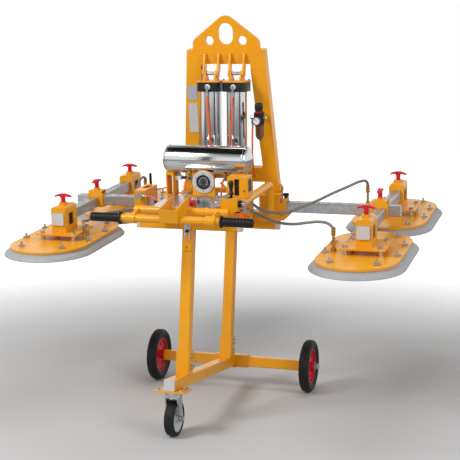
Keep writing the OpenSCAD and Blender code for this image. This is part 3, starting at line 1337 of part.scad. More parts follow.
trolley_base();
trolley_front_stand();
trolley_rear_stand();
trolley_caps();
socket_bolts();
latch_plate();
caster_plate();
caster_fork();
caster_wheel();
left_tyre();
left_rim();
right_tyre();
right_rim();
pad_frame();
deck_frame();
handle_bars();
handle_grips();
deck_plate();
air_tank();
tank_fittings();
gauge_case();
gauge_needle();
control_boxes();
valve_lever();
release_knob();
blue_button();
portal_frame();
lifting_plate();
hinge_pins();
cylinder_tubes();
cylinder_heads();
cylinder_rods();
regulator_body();
regulator_knob();
right_arm();
left_arm();
right_carriage();
left_carriage();
right_sleeve_knob();
left_sleeve_knob();
right_lock_knob();
left_lock_knob();
front_right_bracket();
front_right_pad();
front_right_skirt();
front_right_pull();
rear_right_bracket();
rear_right_pad();
rear_right_skirt();
rear_right_pull();
front_left_bracket();
front_left_pad();
front_left_skirt();
front_left_pull();
rear_left_bracket();
rear_left_pad();
rear_left_skirt();
rear_left_pull();
vacuum_hoses();
air_hoses();
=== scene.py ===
import json
import math
import bmesh
import bpy
from mathutils import Matrix, Vector


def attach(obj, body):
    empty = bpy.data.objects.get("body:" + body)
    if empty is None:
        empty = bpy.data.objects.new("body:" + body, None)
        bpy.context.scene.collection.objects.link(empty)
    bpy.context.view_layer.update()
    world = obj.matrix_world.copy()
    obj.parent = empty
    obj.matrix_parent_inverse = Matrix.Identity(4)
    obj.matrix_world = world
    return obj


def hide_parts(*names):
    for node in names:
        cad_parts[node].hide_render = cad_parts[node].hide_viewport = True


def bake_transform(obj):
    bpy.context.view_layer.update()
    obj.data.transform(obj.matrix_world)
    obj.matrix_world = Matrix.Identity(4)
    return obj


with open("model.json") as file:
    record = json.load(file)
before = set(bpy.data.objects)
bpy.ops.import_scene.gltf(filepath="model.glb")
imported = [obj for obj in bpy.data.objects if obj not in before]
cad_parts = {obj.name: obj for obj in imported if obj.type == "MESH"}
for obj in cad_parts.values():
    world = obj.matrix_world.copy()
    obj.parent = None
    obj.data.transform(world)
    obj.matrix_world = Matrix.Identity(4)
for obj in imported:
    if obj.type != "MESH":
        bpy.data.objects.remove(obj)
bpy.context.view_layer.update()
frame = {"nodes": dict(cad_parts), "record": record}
cadNodes = frame["nodes"]
bodyOf = {node: body for body, nodes in frame["record"]["behaviour"]["bodies"].items() for node in nodes}
print("frame loaded:", len(cadNodes), "nodes")

# How the machine stands, in millimetres and degrees, as in the part's source
stance = {
    "originX": -2, "originY": 54.8237, "axleHeight": 130, "beamSlope": 6.95,
    "lifterY": -32.0963, "lifterZ": 931.298, "lifterTilt": 4.93, "mastTilt": 8.5,
    "cylinderX": 64, "pinY": -14, "pinZ": 655, "cylinderSwing": 6.98336,
}


def standing(y, z, degrees):  # a place in millimetres, tilted about X, as a matrix into metres
    place = Matrix.Translation((stance["originX"] / 1000, (stance["originY"] + y) / 1000, z / 1000))
    return place @ Matrix.Rotation(math.radians(degrees), 4, "X") @ Matrix.Scale(0.001, 4)


def shifted(x, y, z):
    return Matrix.Translation((x, y, z))


trolleySpace = standing(0, stance["axleHeight"], -stance["beamSlope"])
lifterSpace = standing(stance["lifterY"], stance["lifterZ"], stance["lifterTilt"])
mastSpace = standing(stance["lifterY"], stance["lifterZ"], stance["mastTilt"])


def cylinderSpace(side):
    pin = shifted(side * stance["cylinderX"], stance["pinY"], stance["pinZ"])
    return mastSpace @ pin @ Matrix.Rotation(math.radians(-stance["cylinderSwing"]), 4, "X")


# The camera stands to the right of the handle end and looks slightly down
view = {"place": (1.749, -5.5292, 1.647), "down": 8.26, "turn": 17.54, "lens": 92.35, "sensor": 36}
cameraData = bpy.data.cameras.new("camera")
cameraData.lens = view["lens"]
cameraData.sensor_width = view["sensor"]
cameraData.clip_end = 60
camera = bpy.data.objects.new("camera", cameraData)
camera.location = view["place"]
camera.rotation_euler = (math.radians(90 - view["down"]), 0, math.radians(view["turn"]))
bpy.context.scene.collection.objects.link(camera)
bpy.context.scene.camera = camera


def linearColour(code):  # sRGB hex to the linear colour that shaders take
    parts = [int(code[i:i + 2], 16) / 255 for i in (1, 3, 5)]
    return tuple(c / 12.92 if c <= 0.04045 else ((c + 0.055) / 1.055) ** 2.4 for c in parts) + (1,)


def addNode(tree, kind, settings=None, links=None):  # one node with its settings, inputs and links
    node = tree.nodes.new(kind)
    for name, value in (settings or {}).items():
        setattr(node, name, value)
    for name, value in (links or {}).items():
        if isinstance(value, bpy.types.NodeSocket):
            tree.links.new(value, node.inputs[name])
        else:
            node.inputs[name].default_value = value
    return node


def newMaterial(name, shader):  # a Principled material; returns its tree and its shader node
    material = bpy.data.materials.new(name)
    material.use_nodes = True
    tree = material.node_tree
    tree.nodes.clear()
    principled = addNode(tree, "ShaderNodeBsdfPrincipled", links=shader)
    addNode(tree, "ShaderNodeOutputMaterial", links={"Surface": principled.outputs["BSDF"]})
    return material, tree, principled


def speckled(tree, principled, code, other, share, grain, bump=None, rough=None):
    # Two close colours mixed by a noise of a real grain in millimetres, with bump and roughness from it
    place = addNode(tree, "ShaderNodeTexCoord").outputs["Object"]
    noise = addNode(tree, "ShaderNodeTexNoise",
                    links={"Vector": place, "Scale": 1000 / grain, "Detail": 3.0})
    ramp = addNode(tree, "ShaderNodeMapRange",
                   links={"Value": noise.outputs["Fac"], "From Min": 0.35, "From Max": 0.65,
                          "To Max": share})
    mix = addNode(tree, "ShaderNodeMix", {"data_type": "RGBA"}, {"Factor": ramp.outputs["Result"]})
    mix.inputs[6].default_value = linearColour(code)
    mix.inputs[7].default_value = linearColour(other)
    tree.links.new(mix.outputs[2], principled.inputs["Base Color"])
    if rough:
        spread = addNode(tree, "ShaderNodeMapRange",
                         links={"Value": noise.outputs["Fac"], "From Min": 0.3, "From Max": 0.7,
                                "To Min": rough[0], "To Max": rough[1]})
        tree.links.new(spread.outputs["Result"], principled.inputs["Roughness"])
    if bump:
        fine = addNode(tree, "ShaderNodeTexNoise",
                       links={"Vector": place, "Scale": 1000 / bump[0], "Detail": 2.0})
        relief = addNode(tree, "ShaderNodeBump",
                         links={"Height": fine.outputs["Fac"], "Strength": bump[1], "Distance": 0.001})
        tree.links.new(relief.outputs["Normal"], principled.inputs["Normal"])
    return place


def powderCoat(name, code, deep):
    # Powder coat, sprayed and baked: an even glossy skin with a faint orange peel
    made, tree, principled = newMaterial(name, {"Roughness": 0.3, "IOR": 1.5, "Coat Weight": 0.12,
                                                "Coat Roughness": 0.1, "Specular IOR Level": 0.34})
    speckled(tree, principled, code, deep, 0.35, 90, bump=(3.2, 0.10), rough=(0.26, 0.36))
    return made


def castPlastic(name, code, deep, roughness, grain=1.6, relief=0.15):
    # Moulded plastic: one colour through, with the fine grain of its mould
    made, tree, principled = newMaterial(name, {"Roughness": roughness, "IOR": 1.46})
    spread = (roughness - 0.05, roughness + 0.07)
    speckled(tree, principled, code, deep, 0.4, 30, bump=(grain, relief), rough=spread)
    return made


def rubber(name, code, dusty, roughness, grain=2.0, relief=0.3):
    # Moulded rubber: dull, a little dusty, finely pitted
    made, tree, principled = newMaterial(name, {"Roughness": roughness, "IOR": 1.52,
                                                "Specular IOR Level": 0.3, "Sheen Weight": 0.02,
                                                "Sheen Roughness": 0.5})
    spread = (roughness - 0.08, roughness + 0.08)
    speckled(tree, principled, code, dusty, 0.6, 22, bump=(grain, relief), rough=spread)
    return made


def metal(name, code, dark, roughness, grain=14, relief=None):
    # Bare or plated metal: rolled or turned, with a faint cloudiness
    made, tree, principled = newMaterial(name, {"Metallic": 1.0, "Roughness": roughness})
    spread = (roughness * 0.8, roughness * 1.25)
    speckled(tree, principled, code, dark, 0.5, grain, bump=relief, rough=spread)
    return made


def galvanised(name):
    # Zinc-plated square tube: pale, half dull, with soft spangles
    made, tree, principled = newMaterial(name, {"Metallic": 0.85, "Roughness": 0.34})
    place = speckled(tree, principled, "#C9CCCE", "#AEB2B6", 0.8, 26, rough=(0.26, 0.42))
    cells = addNode(tree, "ShaderNodeTexVoronoi", links={"Vector": place, "Scale": 1000 / 11})
    relief = addNode(tree, "ShaderNodeBump",
                     links={"Height": cells.outputs["Distance"], "Strength": 0.05, "Distance": 0.001})
    tree.links.new(relief.outputs["Normal"], principled.inputs["Normal"])
    return made


def brushedTube(name, axis, roughness):
    # Polished stainless tube: fine lines round it, stretched streaks of a 2 mm grit
    made, tree, principled = newMaterial(name, {"Metallic": 1.0, "Roughness": roughness})
    place = addNode(tree, "ShaderNodeTexCoord").outputs["Object"]
    stretch = [0.03, 0.03, 0.03]
    stretch[axis] = 1
    lines = addNode(tree, "ShaderNodeMapping", links={"Vector": place, "Scale": stretch})
    noise = addNode(tree, "ShaderNodeTexNoise",
                    links={"Vector": lines.outputs["Vector"], "Scale": 500, "Detail": 2.0})
    mix = addNode(tree, "ShaderNodeMix", {"data_type": "RGBA"}, {"Factor": noise.outputs["Fac"]})
    mix.inputs[6].default_value = linearColour("#E4E5E6")
    mix.inputs[7].default_value = linearColour("#C6C8CA")
    spread = addNode(tree, "ShaderNodeMapRange",
                     links={"Value": noise.outputs["Fac"], "To Min": roughness * 0.6,
                            "To Max": roughness * 1.5})
    tree.links.new(mix.outputs[2], principled.inputs["Base Color"])
    tree.links.new(spread.outputs["Result"], principled.inputs["Roughness"])
    return made


def braidedSleeve(name):
    # Woven stainless braid on a rubber hose: crossing strands, drawn 5 mm apart so that they show
    made, tree, principled = newMaterial(name, {"Metallic": 0.55, "Roughness": 0.5})
    along = addNode(tree, "ShaderNodeAttribute", {"attribute_name": "along"}).outputs["Fac"]
    around = addNode(tree, "ShaderNodeAttribute", {"attribute_name": "around"}).outputs["Fac"]
    strand = 0.005
    waves = []
    for turn in (3, -3):
        slide = addNode(tree, "ShaderNodeMath", {"operation": "MULTIPLY"}, {0: around, 1: turn * math.tau})
        angle = addNode(tree, "ShaderNodeMath", {"operation": "MULTIPLY_ADD"},
                        {0: along, 1: math.tau / strand, 2: slide.outputs[0]})
        wave = addNode(tree, "ShaderNodeMath", {"operation": "SINE"}, {0: angle.outputs[0]})
        waves.append(wave.outputs[0])
    weave = addNode(tree, "ShaderNodeMath", {"operation": "MAXIMUM"}, {0: waves[0], 1: waves[1]}).outputs[0]
    shade = addNode(tree, "ShaderNodeMapRange", links={"Value": weave, "From Min": -0.6})
    mix = addNode(tree, "ShaderNodeMix", {"data_type": "RGBA"}, {"Factor": shade.outputs["Result"]})
    mix.inputs[6].default_value = linearColour("#57544F")
    mix.inputs[7].default_value = linearColour("#A6A29A")
    relief = addNode(tree, "ShaderNodeBump", links={"Height": weave, "Strength": 0.5, "Distance": 0.0006})
    tree.links.new(mix.outputs[2], principled.inputs["Base Color"])
    tree.links.new(relief.outputs["Normal"], principled.inputs["Normal"])
    return made


def clearPlastic(name, code, roughness):
    # Moulded polycarbonate that lets some light through
    made, tree, principled = newMaterial(name, {"Roughness": roughness, "IOR": 1.58,
                                                "Transmission Weight": 0.7})
    speckled(tree, principled, code, code, 0.3, 20)
    return made


materials = {
    "paint": powderCoat("yellow powder coat", "#ECA20E", "#E39706"),
    "redCoat": powderCoat("red powder coat", "#C8141C", "#B01018"),
    "redPlastic": castPlastic("red moulded nylon", "#D0121B", "#B80F18", 0.32),
    "blackPlastic": castPlastic("black moulded nylon", "#0D0E10", "#16171A", 0.38),
    "whitePlastic": castPlastic("white acetal", "#F0F0EE", "#E2E2DE", 0.35),
    "greyPlastic": castPlastic("grey polyethylene caps", "#C9CBCC", "#B9BBBD", 0.45),
    "bluePlastic": castPlastic("blue moulded nylon", "#1E7FC8", "#166CAF", 0.32),
    "blackCast": castPlastic("black anodised aluminium", "#101113", "#1B1C1F", 0.36, 2.4, 0.2),
    "grip": rubber("black grip rubber", "#0A0A0A", "#131314", 0.5),
    "tyre": rubber("black tyre rubber", "#0C0C0C", "#171716", 0.58, 3.0, 0.4),
    "skirt": rubber("grey natural rubber", "#A9A9AB", "#9D9EA0", 0.5, 3.0, 0.12),
    "steel": metal("bright zinc-plated steel", "#C8CACC", "#9FA2A5", 0.28),
    "brass": metal("turned brass", "#C9A24B", "#A98636", 0.26),
    "zinc": galvanised("galvanised tube"),
    "tank": brushedTube("polished stainless tank", 0, 0.13),
    "chrome": brushedTube("honed stainless barrel", 2, 0.10),
    "sheet": brushedTube("brushed stainless sheet", 1, 0.24),
    "orange": castPlastic("orange polyurethane hose", "#F5620C", "#E85806", 0.36, 4.0, 0.05),
    "braid": braidedSleeve("braided steel hose"),
    "label": castPlastic("blue-grey foil", "#B2B6C4", "#A8ADBD", 0.42),
    "dial": castPlastic("dark printed dial", "#3A3C40", "#323438", 0.5),
    "dialMarks": castPlastic("white printed marks", "#ECECEA", "#E2E2E0", 0.5),
    "bowl": clearPlastic("smoked polycarbonate bowl", "#7A5A3C", 0.12),
}
print("materials made:", len(materials))


def linked(name, mesh):
    made = bpy.data.objects.new(name, mesh)
    bpy.context.scene.collection.objects.link(made)
    return made


def shadeByAngle(mesh, degrees=32):
    mesh.shade_smooth()
    mesh.set_sharp_from_angle(angle=math.radians(degrees))


def roundEdges(piece, width, angle=35):  # a live bevel, in millimetres
    bevel = piece.modifiers.new("rounded edges", "BEVEL")
    bevel.width = width / 1000
    bevel.segments = 2
    bevel.limit_method = "ANGLE"
    bevel.angle_limit = math.radians(angle)
    bevel.harden_normals = True
    bevel.use_clamp_overlap = True


def settle(piece, body, replaced=()):  # a finished piece goes onto its body
    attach(piece, body)
    if replaced:
        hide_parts(*replaced)
    return piece


def newPiece(name, mesh, space, material, body, bevel=0, replaced=()):
    # mesh is a bmesh in millimetres in the given space
    mesh.transform(space)
    bmesh.ops.recalc_face_normals(mesh, faces=mesh.faces)
    data = bpy.data.meshes.new(name)
    mesh.to_mesh(data)
    mesh.free()
    shadeByAngle(data)
    for one in (material if isinstance(material, (list, tuple)) else [material]):
        data.materials.append(materials[one])
    piece = linked(name, data)
    if bevel:
        roundEdges(piece, bevel)
    return settle(piece, body, replaced)


# Dressed copies of the part's own nodes: merged, edges rounded, and a material for each region
def cutAway(piece, cutters):  # exact boolean cuts, kept as a plain mesh
    for cutter in cutters:
        cut = piece.modifiers.new("cut", "BOOLEAN")
        cut.operation = "DIFFERENCE"
        cut.solver = "EXACT"
        cut.object = cutter
    seen = piece.evaluated_get(bpy.context.evaluated_depsgraph_get())
    piece.data = bpy.data.meshes.new_from_object(seen)
    piece.modifiers.clear()
    for cutter in cutters:
        bpy.data.objects.remove(cutter)
    shadeByAngle(piece.data)


def dress(node, space, names, region=None, bevel=1.2, cutters=()):
    mesh = bmesh.new()
    mesh.from_mesh(cadNodes[node].data)
    bmesh.ops.remove_doubles(mesh, verts=mesh.verts, dist=1e-5)
    back = space.inverted()
    turn = back.to_3x3()
    for face in mesh.faces:
        face.material_index = 0
        if region:
            choice = region(back @ face.calc_center_median(), (turn @ face.normal).normalized())
            face.material_index = names.index(choice)
    bmesh.ops.dissolve_limit(mesh, angle_limit=math.radians(0.6), verts=mesh.verts, edges=mesh.edges,
                             delimit={"MATERIAL"})
    data = bpy.data.meshes.new(node + "_dressed")
    mesh.to_mesh(data)
    mesh.free()
    shadeByAngle(data)
    for one in names:
        data.materials.append(materials[one])
    piece = linked(node + "_dressed", data)
    if cutters:
        cutAway(piece, cutters)
    if bevel:
        roundEdges(piece, bevel)
    return settle(piece, bodyOf[node], [node])


# Hoses: the routes are the part's own points, in millimetres in the lifter's, mast's or cylinder's space
hoses = {"vacuumDiameter": 14, "airDiameter": 8, "step": 9, "sides": 14, "ferrule": 1.5}
vacuumRoutes = {
    "rear_right": [(146, -180, 44), (165, -180, 44), (212, -198, 24), (275, -200, 10), (332, -192, 12),
                   (402, -148, 32), (457, -60, 48), (506, 60, 62), (557, 180, 74), (590, 280, 80),
                   (608, 352, 72), (613, 385, 54), (613, 393, 38), (613, 393, 18)],
    "front_right": [(146, -225, 24), (163, -225, 24), (175, -227, 19), (233, -248, 0), (322, -300, -12),
                    (407, -350, -6), (493, -400, 16), (545, -414, 25), (588, -416, 20), (609, -414, 2),
                    (613, -414, -6), (613, -414, -22)],
    "front_left": [(-490, -15, -47), (-510, -15, -47), (-560, -50, -44), (-625, -120, -46),
                   (-648, -200, -48), (-646, -300, -44), (-630, -380, -30), (-615, -410, -36),
                   (-609, -414, -52), (-609, -414, -69)],
    "rear_left": [(-490, 35, -47), (-510, 35, -47), (-545, 70, -44), (-580, 150, -30), (-604, 260, 10),
                  (-614, 340, 44), (-612, 380, 50), (-609, 393, 38), (-609, 393, 18)],
}
lifterRoutes = {
    "tank_left": [(-84, -378, 195), (-84, -392, 195), (-84, -420, 170), (-84, -430, 145),
                  (-84, -430, 128.13)],
    "tank_right": [(93, -378, 195), (93, -392, 195), (93, -420, 170), (93, -430, 145), (93, -430, 128.13)],
    "valve_front": [(283, -705, 128), (283, -705, 108), (282, -696, 84), (276, -650, 66), (262, -590, 58),
                    (225, -545, 60), (172, -518, 78), (146, -510, 95), (128, -510, 95)],
    "valve_rear": [(283, -689, 128), (283, -689, 112), (285, -680, 90), (286, -640, 74), (272, -575, 66),
                   (225, -500, 64), (172, -462, 78), (146, -455, 95), (128, -455, 95)],
    "left_front": [(-430, -82, 42), (-414, -82, 42), (-382, -108, 46), (-335, -150, 40), (-288, -200, 29),
                   (-230, -235, 26), (-170, -254, 62), (-146, -255, 90), (-128, -255, 90)],
    "left_rear": [(-420, 98, 46), (-404, 98, 46), (-370, 72, 58), (-338, 20, 54), (-312, -40, 34),
                  (-270, -110, 22), (-200, -160, 44), (-146, -175, 90), (-128, -175, 90)],
}


def cylinderRoute(side):
    return [(0, -66, -97), (0, -66, -112), (-5 * side, -70, -200), (-14 * side, -74, -320),
            (-20 * side, -72, -400), (-22 * side, -66, -424), (-22 * side, -61, -428),
            (-22 * side, -53, -428)]


regulatorRoute = [(148, -60, 430), (148, -60, 414), (143, -56, 360), (137, -44, 290), (132, -24, 220),
                  (130, -6, 170), (130, 4, 150), (130, 19, 150)]


def smoothRoute(points, space, step):  # a centripetal curve through the points, in metres, evenly spaced
    spots = [space @ Vector(p) for p in points]
    spots = [spots[0] * 2 - spots[1]] + spots + [spots[-1] * 2 - spots[-2]]
    fine = []
    for a, b, c, d in zip(spots, spots[1:], spots[2:], spots[3:]):
        t1 = (b - a).length ** 0.5
        t2 = t1 + (c - b).length ** 0.5
        t3 = t2 + (d - c).length ** 0.5
        for i in range(24):
            t = t1 + (t2 - t1) * i / 24
            ab = a * ((t1 - t) / t1) + b * (t / t1)
            bc = b * ((t2 - t) / (t2 - t1)) + c * ((t - t1) / (t2 - t1))
            cd = c * ((t3 - t) / (t3 - t2)) + d * ((t - t2) / (t3 - t2))
            left = ab * ((t2 - t) / t2) + bc * (t / t2)
            right = bc * ((t3 - t) / (t3 - t1)) + cd * ((t - t1) / (t3 - t1))
            fine.append(left * ((t2 - t) / (t2 - t1)) + right * ((t - t1) / (t2 - t1)))
    fine.append(spots[-2])
    length = sum((q - p).length for p, q in zip(fine, fine[1:]))
    count = max(8, round(length * 1000 / step))
    even, gone, k = [fine[0]], 0.0, 0
    for i in range(1, count):
        target = length * i / count
        while gone + (fine[k + 1] - fine[k]).length < target:
            gone += (fine[k + 1] - fine[k]).length
            k += 1
        part = (target - gone) / (fine[k + 1] - fine[k]).length
        even.append(fine[k].lerp(fine[k + 1], part))
    return even + [fine[-1]]


def hoseTree():  # geometry nodes: a path of edges becomes a tube that knows its length and its turn
    tree = bpy.data.node_groups.new("hose along a path", "GeometryNodeTree")
    tree.interface.new_socket("Path", in_out="INPUT", socket_type="NodeSocketGeometry")
    tree.interface.new_socket("Diameter", in_out="INPUT", socket_type="NodeSocketFloat")
    tree.interface.new_socket("Sides", in_out="INPUT", socket_type="NodeSocketInt")
    tree.interface.new_socket("Finish", in_out="INPUT", socket_type="NodeSocketMaterial")
    tree.interface.new_socket("Hose", in_out="OUTPUT", socket_type="NodeSocketGeometry")
    given = addNode(tree, "NodeGroupInput")
    line = addNode(tree, "GeometryNodeMeshToCurve", links={"Mesh": given.outputs["Path"]})
    far = addNode(tree, "GeometryNodeCaptureAttribute", links={"Geometry": line.outputs["Curve"]})
    far.capture_items.new("FLOAT", "along")
    tree.links.new(addNode(tree, "GeometryNodeSplineParameter").outputs["Length"], far.inputs[1])
    half = addNode(tree, "ShaderNodeMath", {"operation": "MULTIPLY"}, {0: given.outputs["Diameter"], 1: 0.5})
    ring = addNode(tree, "GeometryNodeCurvePrimitiveCircle",
                   links={"Resolution": given.outputs["Sides"], "Radius": half.outputs[0]})
    turn = addNode(tree, "GeometryNodeCaptureAttribute", links={"Geometry": ring.outputs["Curve"]})
    turn.capture_items.new("FLOAT", "around")
    tree.links.new(addNode(tree, "GeometryNodeSplineParameter").outputs["Factor"], turn.inputs[1])
    tube = addNode(tree, "GeometryNodeCurveToMesh",
                   links={"Curve": far.outputs[0], "Profile Curve": turn.outputs[0], "Fill Caps": True})
    shape = tube.outputs["Mesh"]
    for name, source in (("along", far.outputs[1]), ("around", turn.outputs[1])):
        kept = addNode(tree, "GeometryNodeStoreNamedAttribute", {"data_type": "FLOAT"},
                       {"Geometry": shape, "Name": name, "Value": source})
        shape = kept.outputs["Geometry"]
    real = addNode(tree, "GeometryNodeRealizeInstances", links={"Geometry": shape})
    finished = addNode(tree, "GeometryNodeSetMaterial",
                       links={"Geometry": real.outputs["Geometry"], "Material": given.outputs["Finish"]})
    addNode(tree, "NodeGroupOutput", links={"Hose": finished.outputs["Geometry"]})
    return tree


hoseNodes = hoseTree()


def grown(name, data, tree, values):  # runs a node tree on a mesh and keeps the plain result
    host = linked(name + "_host", data)
    modifier = host.modifiers.new("nodes", "NODES")
    modifier.node_group = tree
    sockets = {item.name: item.identifier for item in tree.interface.items_tree if item.in_out == "INPUT"}
    for key, value in values.items():
        modifier[sockets[key]] = value
    bpy.context.view_layer.update()
    shape = bpy.data.meshes.new_from_object(host.evaluated_get(bpy.context.evaluated_depsgraph_get()))
    bpy.data.objects.remove(host)
    shape.name = name
    return shape


def pathMesh(name, points):
    data = bpy.data.meshes.new(name)
    data.from_pydata([tuple(p) for p in points], [(i, i + 1) for i in range(len(points) - 1)], [])
    return data


def hose(name, points, diameter, material, node):
    values = {"Diameter": diameter / 1000, "Sides": hoses["sides"], "Finish": materials[material]}
    shape = grown(name, pathMesh(name, points), hoseNodes, values)
    shadeByAngle(shape, 50)
    piece = linked(name, shape)
    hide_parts(node)
    return piece


def ferrule(name, end, inner, diameter, material, body):
    # Crimped sleeve with a hexagon, turned about the hose's end
    way = (inner - end).normalized()
    out = diameter * hoses["ferrule"] / 2
    profile = [(diameter / 2, -1), (out, -1), (out, 7), (out * 0.86, 8), (out * 0.86, 10), (out * 0.95, 11),
               (out * 0.95, 22), (diameter / 2 + 0.3, 24)]
    mesh = lathe([(r, h * diameter / 14) for r, h in profile], 20)
    turn = way.to_track_quat("Z", "Y").to_matrix().to_4x4()
    space = Matrix.Translation(end) @ turn @ Matrix.Scale(0.001, 4)
    return newPiece(name, mesh, space, material, body)


def lathe(profile, sides=48):  # a closed or open half outline turned about Z
    mesh = bmesh.new()
    rings = []
    for r, h in profile:
        if r < 1e-6:
            rings.append([mesh.verts.new((0, 0, h))])
        else:
            turns = [math.tau * i / sides for i in range(sides)]
            rings.append([mesh.verts.new((r * math.cos(a), r * math.sin(a), h)) for a in turns])
    for a, b in zip(rings, rings[1:]):
        for i in range(sides):
            j = (i + 1) % sides
            corners = [a[i % len(a)], a[j % len(a)], b[j % len(b)], b[i % len(b)]]
            corners = [v for k, v in enumerate(corners) if v not in corners[:k]]
            mesh.faces.new(corners)
    return mesh


def box(x0, x1, y0, y1, z0, z1):
    mesh = bmesh.new()
    size = Matrix.Diagonal((x1 - x0, y1 - y0, z1 - z0, 1))
    bmesh.ops.create_cube(mesh, size=1, matrix=shifted((x0 + x1) / 2, (y0 + y1) / 2, (z0 + z1) / 2) @ size)
    return mesh


for corner, route in vacuumRoutes.items():
    side = corner.split("_")[1]
    line = smoothRoute(route, lifterSpace, hoses["step"])
    cuts = [round(i * (len(line) - 1) / 3) for i in range(4)]
    for i in range(3):
        part = line[cuts[i]:cuts[i + 1] + 1]
        piece = hose(f"{corner}_vacuum_hose_{i + 1}", part, hoses["vacuumDiameter"], "braid",
                     "vacuum_hoses")
        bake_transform(piece)
    ferrule(corner + "_hose_inner_end", line[0], line[1], hoses["vacuumDiameter"], "steel",
            "lifter")
    ferrule(corner + "_hose_outer_end", line[-1], line[-2], hoses["vacuumDiameter"], "brass",
            corner + "_cup")


def airHose(name, route, space, body):
    line = smoothRoute(route, space, hoses["step"] * 0.7)
    piece = hose(name + "_air_hose", line, hoses["airDiameter"], "orange", "air_hoses")
    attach(piece, body)
    ferrule(name + "_air_start", line[0], line[1], hoses["airDiameter"], "steel", body)
    ferrule(name + "_air_end", line[-1], line[-2], hoses["airDiameter"], "steel", body)


for name, route in lifterRoutes.items():
    airHose(name, route, lifterSpace, "lifter")
for side, name in ((1, "right_cylinder"), (-1, "left_cylinder")):
    airHose(name, cylinderRoute(side), cylinderSpace(side), "barrels")
airHose("regulator", regulatorRoute, mastSpace, "mast")
print("hoses laid")

# Trolley
trolley = {"bevel": 1.5, "axleFrom": 368, "hubRadius": 61, "casterAxle": (-848, -153.74),
           "plate": (-31.02, -24.9)}
casterTop = {"half": 52, "y": (-911, -827), "z": (-34, -31)}


def axleRegion(c, n):
    return "steel" if abs(c.x) > trolley["axleFrom"] else "paint"


def casterRegion(c, n):  # a rubber tread bonded to a moulded hub
    y, z = trolley["casterAxle"]
    return "tyre" if math.hypot(c.y - y, c.z - z) > trolley["hubRadius"] else "greyPlastic"


def casterPlateRegion(c, n):  # a painted plate under the beam, bare bolts and kingpin
    low, top = trolley["plate"]
    return "paint" if low < c.z < top and n.z > -0.5 else "steel"


dress("trolley_base", trolleySpace, ["paint", "steel"], axleRegion, trolley["bevel"])
for node in ("trolley_front_stand", "trolley_rear_stand"):
    dress(node, trolleySpace, ["paint"], None, trolley["bevel"])
dress("trolley_caps", trolleySpace, ["greyPlastic"], None, 2.5)
dress("socket_bolts", trolleySpace, ["steel"], None, 0.6)
latchSpots = [trolleySpace.inverted() @ v.co for v in cadNodes["latch_plate"].data.vertices]
latch = {"top": max(v.z for v in latchSpots), "front": min(v.y for v in latchSpots), "bare": 50, "catch": 36}


def latchRegion(c, n):  # a bare latch over its painted strap
    return "steel" if c.z > latch["top"] - latch["bare"] else "paint"


dress("latch_plate", trolleySpace, ["steel", "paint"], latchRegion, 0.8)
latchSpace = trolleySpace @ shifted(0, latch["front"] + 5, latch["top"] - latch["catch"])
newPiece("latch_catch", lathe([(0, 0), (7, 0), (7, 8), (5.5, 9.5), (0, 9.5)], 24),
         latchSpace @ Matrix.Rotation(math.radians(90), 4, "X"), "blackPlastic", "trolley")
dress("caster_plate", trolleySpace, ["steel", "paint"], casterPlateRegion, 0.8)
newPiece("caster_top_plate", box(-casterTop["half"], casterTop["half"], *casterTop["y"], *casterTop["z"]),
         trolleySpace, "steel", "trolley", bevel=0.8)
dress("caster_fork", trolleySpace, ["steel"], None, 1.0)
dress("caster_wheel", trolleySpace, ["tyre", "greyPlastic"], casterRegion, 0.8)
for side in ("left", "right"):
    dress(side + "_tyre", trolleySpace, ["tyre"], None, 0)
    dress(side + "_rim", trolleySpace, ["redCoat"], None, 0.8)
print("trolley dressed")

# Lifter frame
feet = {"y": -90, "z": 62, "headRadius": 12.8, "headsFrom": 24.2, "reach": 100}
leftSocket = {"frontValve": (-424, -60.2, 20), "rearX": (-432, -419), "rearY": (90, 106), "rearZ": 38}


def padFrameRegion(c, n):  # the left socket's valves and the feet's bolt heads are bare
    x, y, z = leftSocket["frontValve"]
    if c.x < x and c.y < y and c.z > z:
        return "steel"
    inX = leftSocket["rearX"][0] < c.x < leftSocket["rearX"][1]
    if inX and leftSocket["rearY"][0] < c.y < leftSocket["rearY"][1] and c.z > leftSocket["rearZ"]:
        return "steel"
    beside = abs(abs(c.x) - stance["cylinderX"]) > feet["headsFrom"] and abs(c.x) < feet["reach"]
    onHead = math.hypot(c.y - feet["y"], c.z - feet["z"]) < feet["headRadius"]
    return "steel" if beside and onHead else "paint"


valve = {"side": 260.5, "connector": 274.5, "top": 180.05, "rear": -640}
instrument = {"windowX": (242.5, 245.5), "windowY": -510, "screwsY": (-530, -520.2),
              "recessX": (185, 209), "recessY": (-519, -500)}
manifold = {"front": -260, "top": 64, "portsFrom": 128.5}


def boxRegion(c, n):
    if c.x > valve["side"]:
        return "steel" if c.x > valve["connector"] else "blackPlastic"
    if c.z > valve["top"] and c.y < valve["rear"]:
        return "sheet"
    if instrument["windowX"][0] < c.x < instrument["windowX"][1] and c.y > instrument["windowY"]:
        return "blackPlastic"
    if instrument["screwsY"][0] < c.y < instrument["screwsY"][1]:
        return "steel"
    inRecess = instrument["recessX"][0] < c.x < instrument["recessX"][1]
    if inRecess and instrument["recessY"][0] < c.y < instrument["recessY"][1]:
        return "blackPlastic"
    if c.y > manifold["front"] and c.z < manifold["top"]:
        return "steel" if c.x > manifold["portsFrom"] else "blackCast"
    return "paint"


gauge = {"x": 3, "y": -410, "z": 190, "can": 31, "dial": 26, "ringFace": 6.2, "plateFace": 0.2}


def gaugeRegion(c, n):  # screws stand proud of the ring, the ring of its painted plate
    out = math.hypot(c.x - gauge["x"], c.z - gauge["z"])
    proud = gauge["y"] - c.y
    if proud > gauge["ringFace"]:
        return "steel" if out > gauge["can"] + 2 else "blackPlastic"
    if out > gauge["can"] + 0.2:
        return "greyPlastic" if proud > gauge["plateFace"] else "paint"
    return "dial" if proud > gauge["plateFace"] and out < gauge["dial"] - 1 else "blackPlastic"


